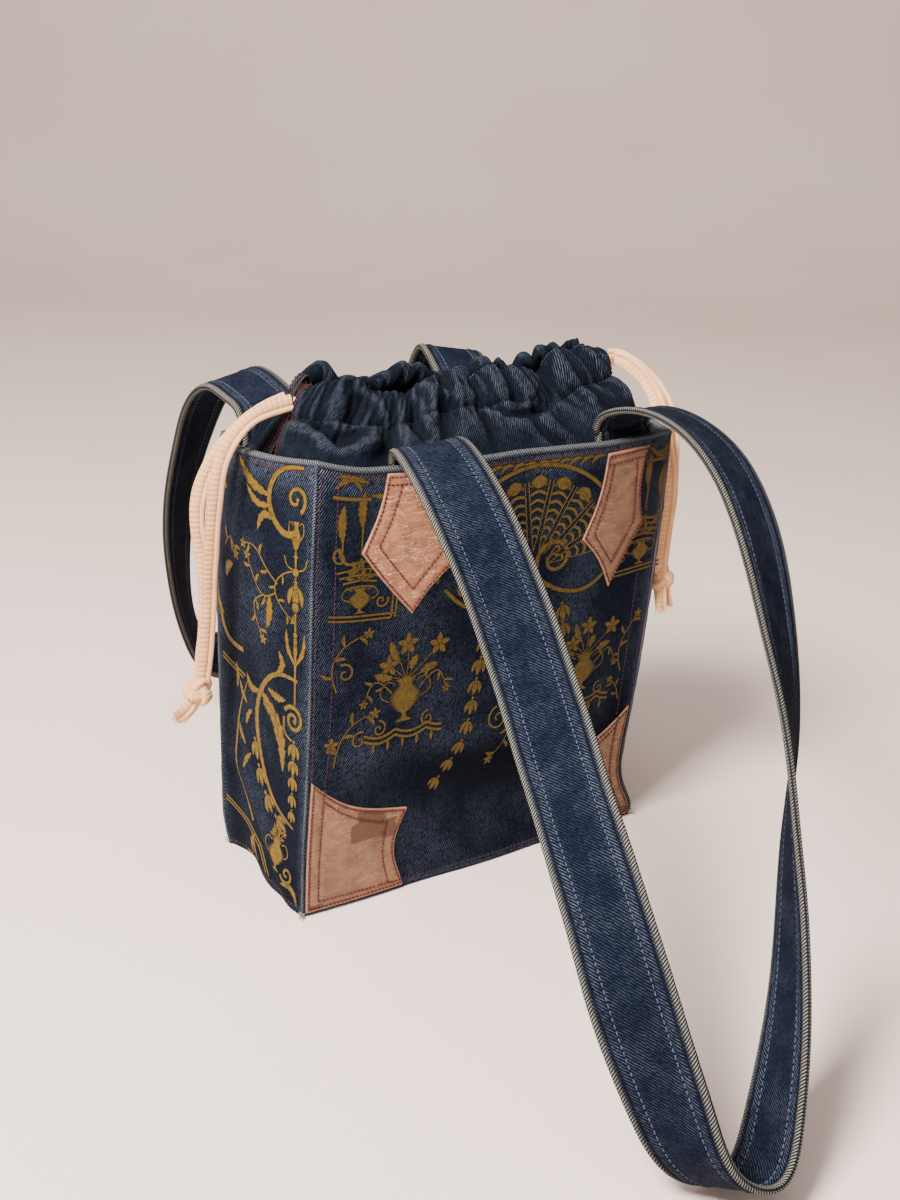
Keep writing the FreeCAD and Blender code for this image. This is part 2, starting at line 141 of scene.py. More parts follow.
class Cloth:
    """Faces of one mesh, gathered piece by piece, with cloth coordinates and painted values."""

    def __init__(self):
        self.verts, self.faces, self.uvs, self.count = [], [], [], 0
        self.paint = {}

    def add(self, verts, faces, uvs, **paint):
        """Adds faces, their corners' cloth coordinates and values painted on their vertices."""
        self.verts.append(verts)
        self.faces += [[int(i) + self.count for i in f] for f in faces]
        self.uvs.append(uvs)
        for key in set(self.paint) | set(paint):
            have = self.paint.setdefault(key, [np.zeros(self.count)])
            have.append(np.broadcast_to(np.asarray(paint.get(key, 0.0), float), (len(verts),)))
        self.count += len(verts)

    def grid(self, p, uv=None, wrap_rows=False, wrap_cols=False, caps=False, **paint):
        """Adds a grid of points as quads, closed on itself where it wraps."""
        rows, cols = p.shape[:2]
        r, c = np.meshgrid(
            np.arange(rows if wrap_rows else rows - 1),
            np.arange(cols if wrap_cols else cols - 1),
            indexing="ij",
        )
        corners = [(r, c), (r, c + 1), (r + 1, c + 1), (r + 1, c)]
        faces = np.stack([(a % rows) * cols + b % cols for a, b in corners], -1).reshape(-1, 4).tolist()
        if uv is None:
            uv = np.zeros((rows + 1, cols + 1, 2))
        uvs = [np.stack([uv[a, b] for a, b in corners], 2).reshape(-1, 2)]
        if caps:
            faces += [list(range(cols))[::-1], list(range((rows - 1) * cols, rows * cols))]
            uvs += [uv[0, :cols], uv[-1, :cols]]
        flat = {k: np.broadcast_to(v, (rows, cols)).ravel() for k, v in paint.items()}
        self.add(p.reshape(-1, 3), faces, np.concatenate(uvs), **flat)

    def make(self, name, material, slot, facing=None, thick=0.0, replaces=()):
        """The mesh as an object. facing is a direction that its first face looks along."""
        me = bpy.data.meshes.new(name)
        me.from_pydata((np.concatenate(self.verts) * MM).tolist(), [], self.faces)
        me.uv_layers.new(name="cloth").data.foreach_set("uv", np.concatenate(self.uvs).ravel() * MM)
        for key, values in self.paint.items():
            me.attributes.new(key, "FLOAT", "POINT").data.foreach_set("value", np.concatenate(values))
        me.polygons.foreach_set("use_smooth", [True] * len(me.polygons))
        me.materials.append(material)
        me.update()
        middle = me.polygons[len(me.polygons) // 2].normal
        if facing is not None and middle.dot(Vector(facing)) < 0:
            me.flip_normals()
        if facing is None:
            bm = bmesh.new()
            bm.from_mesh(me)
            bmesh.ops.recalc_face_normals(bm, faces=bm.faces)
            bm.to_mesh(me)
            bm.free()
        ob = bpy.data.objects.new(name, me)
        bpy.context.scene.collection.objects.link(ob)
        if thick:
            layer = ob.modifiers.new("thickness", "SOLIDIFY")
            layer.thickness, layer.offset = thick * MM, -1.0
        if replaces:
            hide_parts(*replaces)
        return ob


def cloth_uv(u, v):
    """Cloth coordinates of a grid from one line of each."""
    return np.dstack(np.meshgrid(u, v))


# ================================================================ the denim box

SEAMS = {
    "FL": [(-119, -47.4, 0.4), (-118.4, -48, 34), (-116, -49.5, 86), (-113.8, -51, 151),
           (-112, -52, 224), (-109, -52, 274)],
    "FR": [(119, -47.4, 0.4), (119.3, -48, 8), (113, -49, 22), (107.6, -50, 40), (107.8, -51, 55),
           (111, -52, 84), (114, -53, 115), (117, -54.5, 162), (119, -56, 207), (120.5, -57, 262)],
    "BR": [(121, 47, 0.4), (122.5, 47.5, 60), (123, 48, 130), (122, 49, 190), (118.5, 51, 265)],
    "BL": [(-121, 47, 0.4), (-123.6, 47, 12), (-125, 47, 40), (-124.6, 47, 90), (-124.2, 47, 135),
           (-123.4, 47, 190), (-121, 47, 238), (-118, 47, 265.8)],
}
PANELS = {
    "front": ("FL", "FR", 240.0, (0, -1, 0),
              [(-109, -52, 274), (-96, -55, 270), (-79, -57, 267), (-45, -57.8, 265.5),
               (-8, -57.8, 264.5), (35, -58.5, 263), (71, -59, 262), (102, -59, 262),
               (120.5, -57, 262)],
              [0, -1.6, -2.1, -1.6, 0]),
    "right": ("FR", "BR", 98.0, (1, 0, 0),
              [(120.5, -57, 262), (124, -30, 263), (124.5, 0, 264), (122.5, 30, 265),
               (118.5, 51, 265)],
              [0, 2, 0, -3.5, 0]),
    "back": ("BR", "BL", 240.0, (0, 1, 0),
             [(118.5, 51, 265), (60, 55, 266), (0, 56, 266), (-60, 54, 266), (-118, 47, 265.8)],
             [0, 1.6, 2.1, 1.6, 0]),
    "left": ("BL", "FL", 98.0, (-1, 0, 0),
             [(-118, 47, 265.8), (-122, 31, 266), (-123.5, 15, 266.5), (-120, -12, 268.5),
              (-114.5, -35, 271), (-109, -52, 274)],
             [0, -5.2, -1.5, 1.8, 2.2, 0]),
}
PANEL_H = 266.0
RIM_ROW_H = 261.0  # height of the red stitch row under the rim
BASE_DECAY = 34.0  # height over which the bottom edge's waves die out


def folds(name, s, h):
    """How far a panel's cloth stands out from its ruled surface."""
    t = h / PANEL_H
    belly = np.sin(math.pi * clip01(s)) * np.sin(math.pi * clip01(t))
    if name == "front":
        window = clip01(np.sin(math.pi * clip01(s))) ** 0.6
        slump = 1.5 * bump(h, 98 - 14 * s, 14) - 1.7 * bump(h, 74 - 14 * s, 18)
        soft = 0.9 * np.sin(9.0 * s + 1.0) * np.sin(math.pi * t) + 0.7 * np.sin(15 * s + 2.2 * t)
        tight = 0.8 * bump(s, 0.16, 0.05) * bump(h, 205, 60)
        return 1.6 * belly + window * (slump + soft) - tight
    if name == "back":
        return 2.2 * belly + 0.9 * np.sin(8.0 * s + 3.0 * t) * belly - 1.2 * bump(h, 70 + 20 * s, 12) * belly
    crease = 2.6 * bump(h - 95 * (0.5 - s), 42, 12) - 2.8 * bump(h - 95 * (0.5 - s), 24, 10)
    window = clip01(np.sin(math.pi * clip01(s)))
    return 1.5 * belly + 0.8 * window * crease + 0.8 * np.sin(7 * s + 6 * t) * belly


class Panel:
    """One wall of the bag. a runs along it in millimetres from its middle, h up from the floor."""

    def __init__(self, name):
        first, second, self.width, out, rim, base = PANELS[name]
        self.name, self.out = name, arr(out)
        self.t = np.linspace(0, 1, 200)
        self.sides = []
        for seam in (first, second):
            p = arr(SEAMS[seam])
            z = np.interp(self.t, [0, 1], [p[0, 2], p[-1, 2]])
            self.sides.append(np.dstack([spline(p[:, 2], p[:, 0], z), spline(p[:, 2], p[:, 1], z), z])[0])
        rim = arr(rim)
        self.rim = spline(chord(rim), rim, self.t)
        self.base = spline(np.linspace(0, 1, len(base)), arr(base), self.t)

    def at(self, a, h):
        """Points of the cloth's outside."""
        a, h = np.broadcast_arrays(arr(a), arr(h))
        s, t = a / self.width + 0.5, h / PANEL_H
        p0, p1 = (pick(side, self.t, t) for side in self.sides)
        top = self.sides[0][-1] + (self.sides[1][-1] - self.sides[0][-1]) * s[..., None]
        p = p0 + (p1 - p0) * s[..., None]
        p = p + (pick(self.rim, self.t, s) - top) * (np.clip(t, 0, 1.1) ** 2.5)[..., None]
        push = np.interp(s, self.t, self.base) * np.exp(-h / BASE_DECAY)
        if self.name in ("front", "back"):
            p[..., 1] += push
        else:
            p[..., 0] += -push if self.name == "left" else push
        return p + self.out * folds(self.name, s, h)[..., None]

    def frame(self, a, h, proud=0.0):
        """Points standing proud of the cloth, and the cloth's normals there."""
        a, h = np.broadcast_arrays(arr(a), arr(h))
        e = 0.8
        across = self.at(a + e, h) - self.at(a - e, h)
        up = self.at(a, h + e) - self.at(a, h - e)
        n = unit(np.cross(across, up))
        n = n * np.sign((n * self.out).sum(-1, keepdims=True))
        return self.at(a, h) + n * np.asarray(proud)[..., None], n


WALLS = {name: Panel(name) for name in PANELS}


# ================================================================ materials


def colour(hex_code):
    """A linear colour from an sRGB hex code."""
    rgb = [int(hex_code[k : k + 2], 16) / 255.0 for k in (0, 2, 4)]
    return [c / 12.92 if c <= 0.04045 else ((c + 0.055) / 1.055) ** 2.4 for c in rgb] + [1.0]


class Nodes:
    """A material's node tree, with short calls for the nodes used here."""

    def __init__(self, name, roughness, specular, sheen=0.0):
        self.mat = bpy.data.materials.new(name)
        self.mat.use_nodes = True
        self.tree = self.mat.node_tree
        self.shader = self.tree.nodes["Principled BSDF"].inputs
        for key, value in (("Roughness", roughness), ("Specular IOR Level", specular),
                           ("Sheen Weight", sheen), ("Sheen Roughness", 0.5)):
            self.shader[key].default_value = value

    def put(self, socket, value):
        """Links or sets a socket. A colour may be a hex code, and None leaves the socket as it is."""
        if isinstance(value, bpy.types.NodeSocket):
            self.tree.links.new(value, socket)
        elif value is not None:
            socket.default_value = colour(value) if isinstance(value, str) else value

    def node(self, kind, output, **inputs):
        """One output of a new node, with some of the node's inputs linked or set."""
        node = self.tree.nodes.new("ShaderNode" + kind)
        for key, value in inputs.items():
            self.put(node.inputs[key.replace("_", " ")], value)
        return node.outputs[output]

    def map(self, vector, scale, turn=0.0):
        if turn:
            vector = self.node("Mapping", "Vector", Rotation=(0, 0, turn), Vector=vector)
        return self.node("Mapping", "Vector", Scale=scale, Vector=vector)

    def cloth(self, scale=(1000, 1000, 1000), turn=0.0):
        """Cloth coordinates in millimetres, turned and stretched."""
        uv = self.tree.nodes.new("ShaderNodeUVMap")
        uv.uv_map = "cloth"
        return self.map(uv.outputs["UV"], scale, turn)

    def object(self, scale=(1000, 1000, 1000)):
        """The piece's own coordinates in millimetres."""
        return self.map(self.node("TexCoord", "Object"), scale)

    def noise(self, vector, scale, detail, rough=0.5, distort=0.0):
        return self.node("TexNoise", "Fac", Vector=vector, Scale=scale, Detail=detail,
                         Roughness=rough, Distortion=distort)

    def wave(self, vector, pitch, distort, detail=1.0, detail_scale=1.0):
        """Bands a pitch apart. The node turns its wave by 20 times its scale for each millimetre."""
        return self.node("TexWave", "Fac", Vector=vector, Scale=TAU / pitch / 20.0, Distortion=distort,
                         Detail=detail, Detail_Scale=detail_scale)

    def value(self, name):
        """A value painted on the mesh."""
        node = self.tree.nodes.new("ShaderNodeAttribute")
        node.attribute_name = name
        return node.outputs["Fac"]

    def calc(self, kind, a, b=None, clamp=False):
        node = self.tree.nodes.new("ShaderNodeMath")
        node.operation, node.use_clamp = kind, clamp
        self.put(node.inputs[0], a)
        self.put(node.inputs[1], b)
        return node.outputs[0]

    def times(self, a, b, clamp=False):
        return self.calc("MULTIPLY", a, b, clamp)

    def plus(self, a, b, clamp=False):
        return self.calc("ADD", a, b, clamp)

    def range(self, v, low, high, out_low=0.0, out_high=1.0):
        node = self.tree.nodes.new("ShaderNodeMapRange")
        for k, x in enumerate((v, low, high, out_low, out_high)):
            self.put(node.inputs[k], x)
        return node.outputs[0]

    def mix(self, share, a, b):
        """Colour a turning to b as the share goes from 0 to 1."""
        node = self.tree.nodes.new("ShaderNodeMix")
        node.data_type = "RGBA"
        for key, x in (("Factor", share), (6, a), (7, b)):
            self.put(node.inputs[key], x)
        return node.outputs[2]

    def finish(self, base, height, distance, rough=None):
        """The material, with bumps as high as a distance in millimetres."""
        bumps = self.node("Bump", "Normal", Distance=distance * MM, Strength=1.0, Height=height)
        for key, x in (("Base Color", base), ("Roughness", rough), ("Normal", bumps)):
            self.put(self.shader[key], x)
        return self.mat


TWILL_PITCH = 1.25  # between the ribs, across them
ROPE_PITCH = 1.3  # between the slanting threads of a rubbed edge
WEAVE_PITCH = 0.9  # between the threads of the lining


def twill(n, turn):
    """Denim's diagonal ribs, their broken pale dashes and its loose flecks, each from 0 to 1."""
    ribs = n.wave(n.cloth(turn=turn), TWILL_PITCH, distort=1.3, detail=2.0, detail_scale=1.2)
    dashes = n.noise(n.cloth(scale=(1500, 330, 1000), turn=turn), 1.0, 2.0, 0.6)
    flecks = n.noise(n.cloth(scale=(900, 1500, 1000)), 1.0, 2.0, 0.7)
    return ribs, dashes, flecks


def denim(name, dark, mid, pale, rope_pale, turn, bands, share):
    """Indigo twill, paler where it is rubbed (wear) or folded (edge), darker with dirt and painted shade
    (grime).
    """
    n = Nodes(name, roughness=0.9, specular=0.04)
    ribs, dashes, flecks = twill(n, math.radians(turn))
    wear, edge, grime = n.value("wear"), n.value("edge"), n.value("grime")
    clouds = n.noise(n.cloth(scale=(*bands, 1000)), 1.0, 4.0, 0.6)
    rubbed = n.plus(n.range(clouds, 0.42, 0.68, 0.08, share), n.times(wear, 0.75), True)
    base = n.mix(n.range(dashes, 0.3, 0.7), dark, mid)
    # the pale weft shows between the ribs in broken dashes, more where the cloth is rubbed
    weft = n.times(n.range(ribs, 0.52, 0.9), n.range(dashes, 0.34, 0.60, 0.1, 1.0))
    base = n.mix(n.times(weft, rubbed, True), base, pale)
    specks = n.times(n.range(flecks, 0.60, 0.72), n.range(rubbed, 0.0, 1.0, 0.12, 0.6))
    base = n.mix(specks, base, pale)
    # a folded edge is rubbed down to the weft, in slanting threads like a rope's
    rope = n.wave(n.cloth(turn=math.radians(-56)), ROPE_PITCH, distort=0.9, detail=1.0)
    roped = n.mix(n.range(rope, 0.3, 0.8), "070b14", rope_pale)
    base = n.mix(n.times(edge, n.range(dashes, 0.25, 0.45, 0.6, 1.0)), base, roped)
    # grime darkens towards 080b11: dirt in places, painted shade in valleys, grooves and over the gussets
    base = n.mix(n.times(grime, 0.85), base, "080b11")
    height = n.plus(n.times(ribs, 0.6), n.times(dashes, 0.5))
    height = n.plus(height, n.times(n.times(edge, rope), 0.8))
    return n.finish(base, height, 0.16)


def leather(name, skin, deep, crack):
    """Dusty pink leather with a crazed, creased surface and dark stains."""
    n = Nodes(name, roughness=0.55, specular=0.4)
    where = n.cloth()
    wobble = n.noise(where, 0.12, 3.0, 0.6)
    # creases run where a stretched noise crosses its middle value
    veins, fine = (n.calc("ABSOLUTE", n.calc("SUBTRACT", field, 0.5)) for field in (
        n.noise(n.cloth(scale=(62, 300, 1000)), 1.0, 3.0, 0.55, 0.3),
        n.noise(n.cloth(scale=(300, 700, 1000)), 1.0, 2.0, 0.5)))
    cracks = n.range(veins, 0.0, 0.03, 1.0, 0.0)
    crazed = n.range(fine, 0.0, 0.05, 1.0, 0.0)
    tone = n.mix(n.range(wobble, 0.35, 0.68), skin, deep)
    grain = n.noise(where, 1.6, 3.0, 0.6)
    tone = n.mix(n.range(grain, 0.3, 0.75, 0.0, 0.35), tone, deep)
    tone = n.mix(n.times(cracks, n.range(wobble, 0.3, 0.55, 0.35, 1.0)), tone, crack)
    tone = n.mix(n.times(crazed, 0.3), tone, crack)
    # the wear value, mostly each patch's dull, turns the tone duller: fading, and painted shade on the
    # right-hand strap patches and the corner patches
    faded_and_shaded = n.mix(n.range(wobble, 0.35, 0.68), "6b523c", "503c2c")
    tone = n.mix(n.times(n.value("wear"), 0.8), tone, faded_and_shaded)
    ragged = n.plus(n.value("stain"), n.range(n.noise(where, 0.35, 3.0, 0.6), 0.2, 0.8, -0.3, 0.3))
    stained = n.mix(n.range(grain, 0.3, 0.7), "3c2612", "5c3c20")
    tone = n.mix(n.range(ragged, 0.42, 0.62, 0.0, 0.88), tone, stained)
    tone = n.mix(n.value("edge"), tone, "8f6b55")
    height = n.calc("SUBTRACT", n.times(grain, 0.5), n.times(cracks, 0.8))
    height = n.calc("SUBTRACT", height, n.times(crazed, 0.35))
    return n.finish(tone, height, 0.25, n.range(grain, 0.3, 0.7, 0.45, 0.68))


def print_gold():
    """Gold ink on the denim: the twill shows through it, it thins out, and its edge is dark."""
    n = Nodes("printed_gold", roughness=0.6, specular=0.15)
    ribs, dashes, threads = twill(n, math.radians(30))
    patch = n.noise(n.cloth(scale=(240, 240, 1000)), 1.0, 4.0, 0.65)
    ink = n.mix(n.range(patch, 0.35, 0.7), "775d19", "514113")
    ink = n.mix(n.range(dashes, 0.3, 0.55, 0.55, 0.0), ink, "2c2412")
    rim = n.range(n.value("edge"), 0.62, 0.9)
    ink = n.mix(n.value("wear"), ink, "3e3418")
    ink = n.mix(rim, ink, "1a1712")
    worn = n.times(n.range(threads, 0.6, 0.7), n.range(patch, 0.5, 0.66))
    ink = n.mix(worn, ink, "172136")
    return n.finish(ink, n.plus(ribs, dashes), 0.14)


def thread(name, light, dark):
    """Twisted sewing thread."""
    n = Nodes(name, sheen=0.05, roughness=0.7, specular=0.2)
    twist = n.noise(n.object(), 1.8, 2.0, 0.6)
    return n.finish(n.mix(n.range(twist, 0.3, 0.7), dark, light), twist, 0.08)


def braid():
    """The flat peach cord: cross ribs, a brown sewn line along it, painted shade between its ribs and soft
    soiling.
    """
    n = Nodes("peach_braid", sheen=0.25, roughness=0.75, specular=0.3)
    where = n.cloth()
    dirt = n.noise(n.cloth(scale=(60, 60, 1000)), 1.0, 3.0, 0.6)
    fibre = n.noise(n.cloth(scale=(420, 2600, 1000)), 1.0, 3.0, 0.6)
    tone = n.mix(n.range(dirt, 0.35, 0.7), "ecb37e", "cf9466")
    tone = n.mix(n.range(fibre, 0.35, 0.7, 0.0, 0.5), tone, "f0c69c")
    tone = n.mix(n.times(n.value("groove"), 0.75), tone, "8d5434")
    grain = n.noise(where, 2.4, 2.0, 0.6)
    return n.finish(tone, n.plus(fibre, grain), 0.16)


def lining_cloth():
    """Plain weave cotton inside the bag."""
    n = Nodes("lining_weave", sheen=0.15, roughness=0.9, specular=0.2)
    u = n.wave(n.cloth(), WEAVE_PITCH, distort=0.6)
    v = n.wave(n.cloth(turn=math.pi / 2), WEAVE_PITCH, distort=0.6)
    weave = n.times(u, v)
    clouds = n.noise(n.cloth(scale=(30, 30, 1000)), 1.0, 3.0, 0.6)
    tone = n.mix(n.range(clouds, 0.3, 0.7), "6f6456", "85796a")
    tone = n.mix(n.range(weave, 0.0, 0.7, 0.45, 0.0), tone, "4a4238")
    return n.finish(tone, weave, 0.12)


DENIM_BODY = denim("denim_body", "03060e", "070d1f", "6b7a92", "72767a", 30, (26, 20), 0.42)
DENIM_STRAP = denim("denim_strap", "040813", "080f22", "4d5461", "75736b", 45, (40, 60), 0.47)
DENIM_COLLAR = denim("denim_collar", "03060d", "060b18", "464f5b", "6a675c", 30, (30, 30), 0.28)
LEATHER = leather("pink_leather", "ae7754", "7d543d", "d6a58a")
GOLD = print_gold()
THREAD_RED = thread("thread_red", "5c1716", "380c0f")
THREAD_WINE = thread("thread_wine", "4c1c36", "281022")
THREAD_DARK = thread("thread_dark_blue", "0b0f19", "05070d")
THREAD_BLUE = thread("thread_blue", "4d5a78", "28324a")
THREAD_PALE = thread("thread_pale", "b3a892", "7a7465")
BRAID = braid()
LINING = lining_cloth()


# ================================================================ stitches


def capsule():
    """One stitch's shape: rings along x from -1 to 1, five points round."""
    rings = [(-1.0, 0.35), (-0.75, 1.0), (0.75, 1.0), (1.0, 0.35)]
    turn = np.arange(5) * TAU / 5
    v = [[x, r * math.cos(a), r * math.sin(a)] for x, r in rings for a in turn]
    f = [[i * 5 + j, i * 5 + (j + 1) % 5, (i + 1) * 5 + (j + 1) % 5, (i + 1) * 5 + j]
         for i in range(3) for j in range(5)]
    return arr(v), f + [[4, 3, 2, 1, 0], [15, 16, 17, 18, 19]]


STITCH_V, STITCH_F = capsule()


class Rows:
    """Rows of stitches in one thread."""

    def __init__(self):
        self.cloth = Cloth()

    def run(self, points, normals, pitch, share=0.68, radius=0.32, lift=0.12):
        """Stitches along a line that lies on a surface."""
        d = lengths(points)
        count = max(1, int(d[-1] / pitch))
        at = (np.arange(count) + 0.5) * d[-1] / count
        half = 0.5 * share * d[-1] / count
        c, z = pick(points, d, at), unit(pick(normals, d, at))
        x = unit(pick(points, d, at + half) - pick(points, d, at - half))
        y = np.cross(z, x)
        v = STITCH_V * arr([half, radius, radius])
        all_v = (
            c[:, None] + z[:, None] * lift
            + v[None, :, :1] * x[:, None] + v[None, :, 1:2] * y[:, None] + v[None, :, 2:] * z[:, None]
        )
        faces = [[i + 20 * k for i in f] for k in range(count) for f in STITCH_F]
        self.cloth.add(all_v.reshape(-1, 3), faces, np.zeros((sum(map(len, faces)), 2)))

    def panel(self, wall, path, pitch):
        """Stitches along a path given in a wall's own coordinates."""
        self.run(*WALLS[wall].frame(*smooth(path, 1.5).T), pitch=pitch)


red, wine, pale = Rows(), Rows(), Rows()


# ================================================================ walls of the bag

WALL_NODES = {"front": "front_panel", "back": "back_panel", "left": "left_gusset", "right": "right_gusset"}
ALONG = {"front": 0, "right": 300, "back": 500, "left": 800}  # each wall's own stretch of the cloth's pattern


def wall_mesh(name):
    """One wall's cloth, with its rubbed edges, dirt and painted shade on it."""
    wall = WALLS[name]
    half = wall.width / 2.0
    a = np.linspace(-half, half, int(wall.width / 2.0) + 1)
    h = np.concatenate([np.linspace(0, 12, 9)[:-1], np.linspace(12, PANEL_H, 126)])
    p = wall.at(a[None, :], h[:, None])
    side = half - np.abs(a)[None, :]
    hh = h[:, None]
    wear = 0.75 * bump(PANEL_H - hh, 0, 13) + 0.55 * bump(side, 0, 5) + 0.5 * bump(hh, 0, 4)
    wear = wear + 0.15 * np.sin(0.11 * a + 1)[None, :] * np.sin(0.045 * h)[:, None]
    grime = np.zeros_like(p[..., 0])
    if name == "front":
        fold = 96 - 14 * (a / 240 + 0.5)[None, :]
        wear = wear + 0.3 * bump(hh, fold, 9) * bump(a[None, :], -20, 80)
        # a smudge low on the front, widened into painted shade of the lower front's bulge
        grime = 0.9 * bump(hh, 66, 24) * clip01((a[None, :] + 60) / 60)
        # painted shade in a band under the slumped fold
        grime = grime + 0.3 * bump(hh, fold - 20, 16) * clip01((110 - np.abs(a)[None, :]) / 30)
        wear = wear * (1 - 0.7 * clip01(grime))
    else:
        # painted shade darkens the gussets and the back all over; they are also darker towards the bottom
        grime = 0.25 + 0.3 * bump(hh, 8, 14) + np.zeros_like(grime)
    cloth = Cloth()
    cloth.grid(p, cloth_uv(a + ALONG[name], h), wear=clip01(wear), grime=clip01(grime))
    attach(cloth.make(name + "_wall_cloth", DENIM_BODY, "body_denim", facing=wall.out, thick=1.5,
                       replaces=[WALL_NODES[name]]), "bag")


for wall_name in PANELS:
    wall_mesh(wall_name)


def rim_line():
    """The whole rim as one closed line of points, with the directions out of it."""
    points, outs = [], []
    for name in ALONG:
        wall = WALLS[name]
        half = wall.width / 2.0
        a = np.linspace(-half, half, int(wall.width / 1.6) + 1)[:-1]
        p, n = wall.frame(a, np.full_like(a, PANEL_H))
        points.append(p)
        outs.append(n)
    p, n = np.concatenate(points), np.concatenate(outs)
    for _ in range(3):  # the direction turns gradually round the corners
        n = unit(np.roll(n, 1, 0) + 2 * n + np.roll(n, -1, 0))
    return p, n


def rim_binding():
    """The rolled rim: the panel's folded edge and the facing's, side by side."""
    p, n = rim_line()
    up = np.zeros_like(n)
    up[:, 2] = 1.0
    section = arr([(0.15, -2.2), (0.55, -1.5), (0.75, -0.6), (0.7, 0.3), (0.35, 0.85), (-0.2, 0.9),
                   (-0.7, 0.5), (-1.1, 0.0), (-1.5, 0.5), (-1.9, 0.9), (-2.5, 0.85), (-3.0, 0.4),
                   (-3.2, -1.0), (-2.9, -3.6)])
    edge = arr([0, 0.25, 0.8, 1, 1, 1, 0.5, 0, 0.5, 1, 1, 0.7, 0.2, 0])
    d = lengths(closed(p))
    wave = 0.25 * np.sin(d[:-1] / 17.0) + 0.15 * np.sin(d[:-1] / 6.1)
    ring = sweep(p, n, up, section[:, 0][None], section[:, 1] + wave[:, None])
    cloth = Cloth()
    # painted shade (grime) in the groove between the two rolled edges and where the binding meets the wall and
    # facing
    cloth.grid(ring, cloth_uv(lengths(section), d), wrap_rows=True, edge=0.85 * edge, wear=0.3,
               grime=np.where(edge == 0, 0.6, 0.0))
    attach(cloth.make("rim_binding", DENIM_BODY, "body_denim"), "bag")


rim_binding()


def seam_ridge(name, first, at_a):
    """A corner seam: the front or back wall's rubbed edge, rolled over the gusset's."""
    h = np.linspace(0, PANEL_H - 1.0, 180)
    p, n = WALLS[first].frame(np.full_like(h, at_a), h)
    side = unit(np.cross(n, np.gradient(p, axis=0)))
    side = side * np.sign(side[:, :1] * math.copysign(1, p[0, 0]))
    turn = np.linspace(0, TAU, 9)[:-1]
    r = (0.95 + 0.15 * np.sin(h / 3.1) * np.sin(h / 11.0))[:, None]
    cloth = Cloth()
    cloth.grid(sweep(p, n, side, 0.9 * r * np.cos(turn), r * np.sin(turn)), cloth_uv(np.linspace(0, 7.8, 9), h),
               wrap_cols=True, caps=True, edge=0.5 + 0.2 * np.sin(h / 9.0)[:, None], wear=0.4)
    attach(cloth.make(name, DENIM_BODY, "body_denim"), "bag")


for first, second, at_a in (("front", "left", -120), ("front", "right", 120),
                            ("back", "right", -120), ("back", "left", 120)):
    seam_ridge("corner_seam_" + first + "_" + second, first, at_a)


def bag_inside():
    """The denim facing inside the rim, the lining below it, and the base."""
    facing, lining = Cloth(), Cloth()
    for name, offset in ALONG.items():
        wall = WALLS[name]
        half = wall.width / 2.0
        a = np.linspace(-half, half, 60)
        for cloth, low, high, depth in ((facing, 234, 264.5, 2.5), (lining, 2.5, 237, 3.2)):
            h = np.linspace(low, high, 40)
            edge = clip01((half - np.abs(a)) / 4.0)
            p, _ = wall.frame(a[None, :] * (1 - depth / half), h[:, None], -depth)
            p = p - wall.out * (0.6 * np.sin(a * 0.09 + h[:, None] * 0.03) * edge)[..., None]
            cloth.grid(p, cloth_uv(a + offset, h))
    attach(facing.make("rim_facing_cloth", DENIM_BODY, "body_denim", replaces=["rim_facing"]), "bag")
    x, y = np.linspace(-117, 117, 60), np.linspace(-44, 44, 24)
    p = np.dstack([*np.meshgrid(x, y), np.full((24, 60), 2.6)])
    p[..., 2] += 0.5 * np.sin(p[..., 0] * 0.05) * np.sin(p[..., 1] * 0.08) + 0.5
    lining.grid(p, cloth_uv(x, y))
    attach(lining.make("lining_cloth", LINING, "lining_cloth", replaces=["lining"]), "bag")
    base = Cloth()
    s = np.linspace(-1, 1, 81)
    f = WALLS["front"].at(s * 120, np.zeros_like(s))
    b = WALLS["back"].at(-s * 120, np.zeros_like(s))
    rows = np.linspace(0, 1, 33)
    p = f[None] + (b - f)[None] * rows[:, None, None]
    for name, k in (("left", 0), ("right", -1)):  # the gussets' bottom edges bound the base too
        side = WALLS[name].at((rows - 0.5) * (98 if name == "right" else -98), np.zeros_like(rows))
        fade = clip01(1 - np.abs(s - s[k]) / 0.25) ** 2
        p = p + (side - p[:, k])[:, None] * fade[None, :, None]
    inner = np.sin(math.pi * rows)[:, None] * np.sin(math.pi * (s + 1) / 2)[None, :]
    p[..., 2] = 0.35 + 0.5 * clip01(inner)
    base.grid(p, cloth_uv(s * 120, rows * 96), wear=0.35, grime=0.3)
    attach(base.make("base_cloth", DENIM_BODY, "body_denim", facing=(0, 0, -1), thick=1.5,
                      replaces=["base_panel"]), "bag")


bag_inside()

# Stitch rows on the walls, in each wall's own coordinates.
for side_name, end_a in (("front", 118), ("left", 47), ("right", 47), ("back", 118)):
    red.panel(side_name, [(-end_a, RIM_ROW_H), (end_a, RIM_ROW_H)], pitch=2.9)
for side_name in ("front", "back"):
    for sign in (-1, 1):
        wine.panel(side_name, [(sign * 117.2, 2), (sign * 117.2, 262)], pitch=2.8)
        wine.panel(side_name, [(sign * 108, 80), (sign * 106.4, 170), (sign * 107.4, 262)], pitch=2.9)
    wine.panel(side_name, [(-117, 4.5), (117, 4.5)], pitch=2.9)
for side_name in ("left", "right"):
    wine.panel(side_name, [(-44, 4.0), (44, 4.0)], pitch=2.9)


# ================================================================ leather patches

PATCH_T = 1.25  # the leather's thickness
PATCH_STEP = 1.4  # between the points of its outline and seams


def outline(corners):
    """A patch's outline from its corners, each with the middle of the side that follows it."""
    line = []
    for k, (corner, middle) in enumerate(corners):
        end = corners[(k + 1) % len(corners)][0]
        if middle is None:
            middle = tuple((arr(corner) + arr(end)) / 2.0)
        line.append(smooth([corner, middle, end], PATCH_STEP)[:-1])
    return np.concatenate(line)


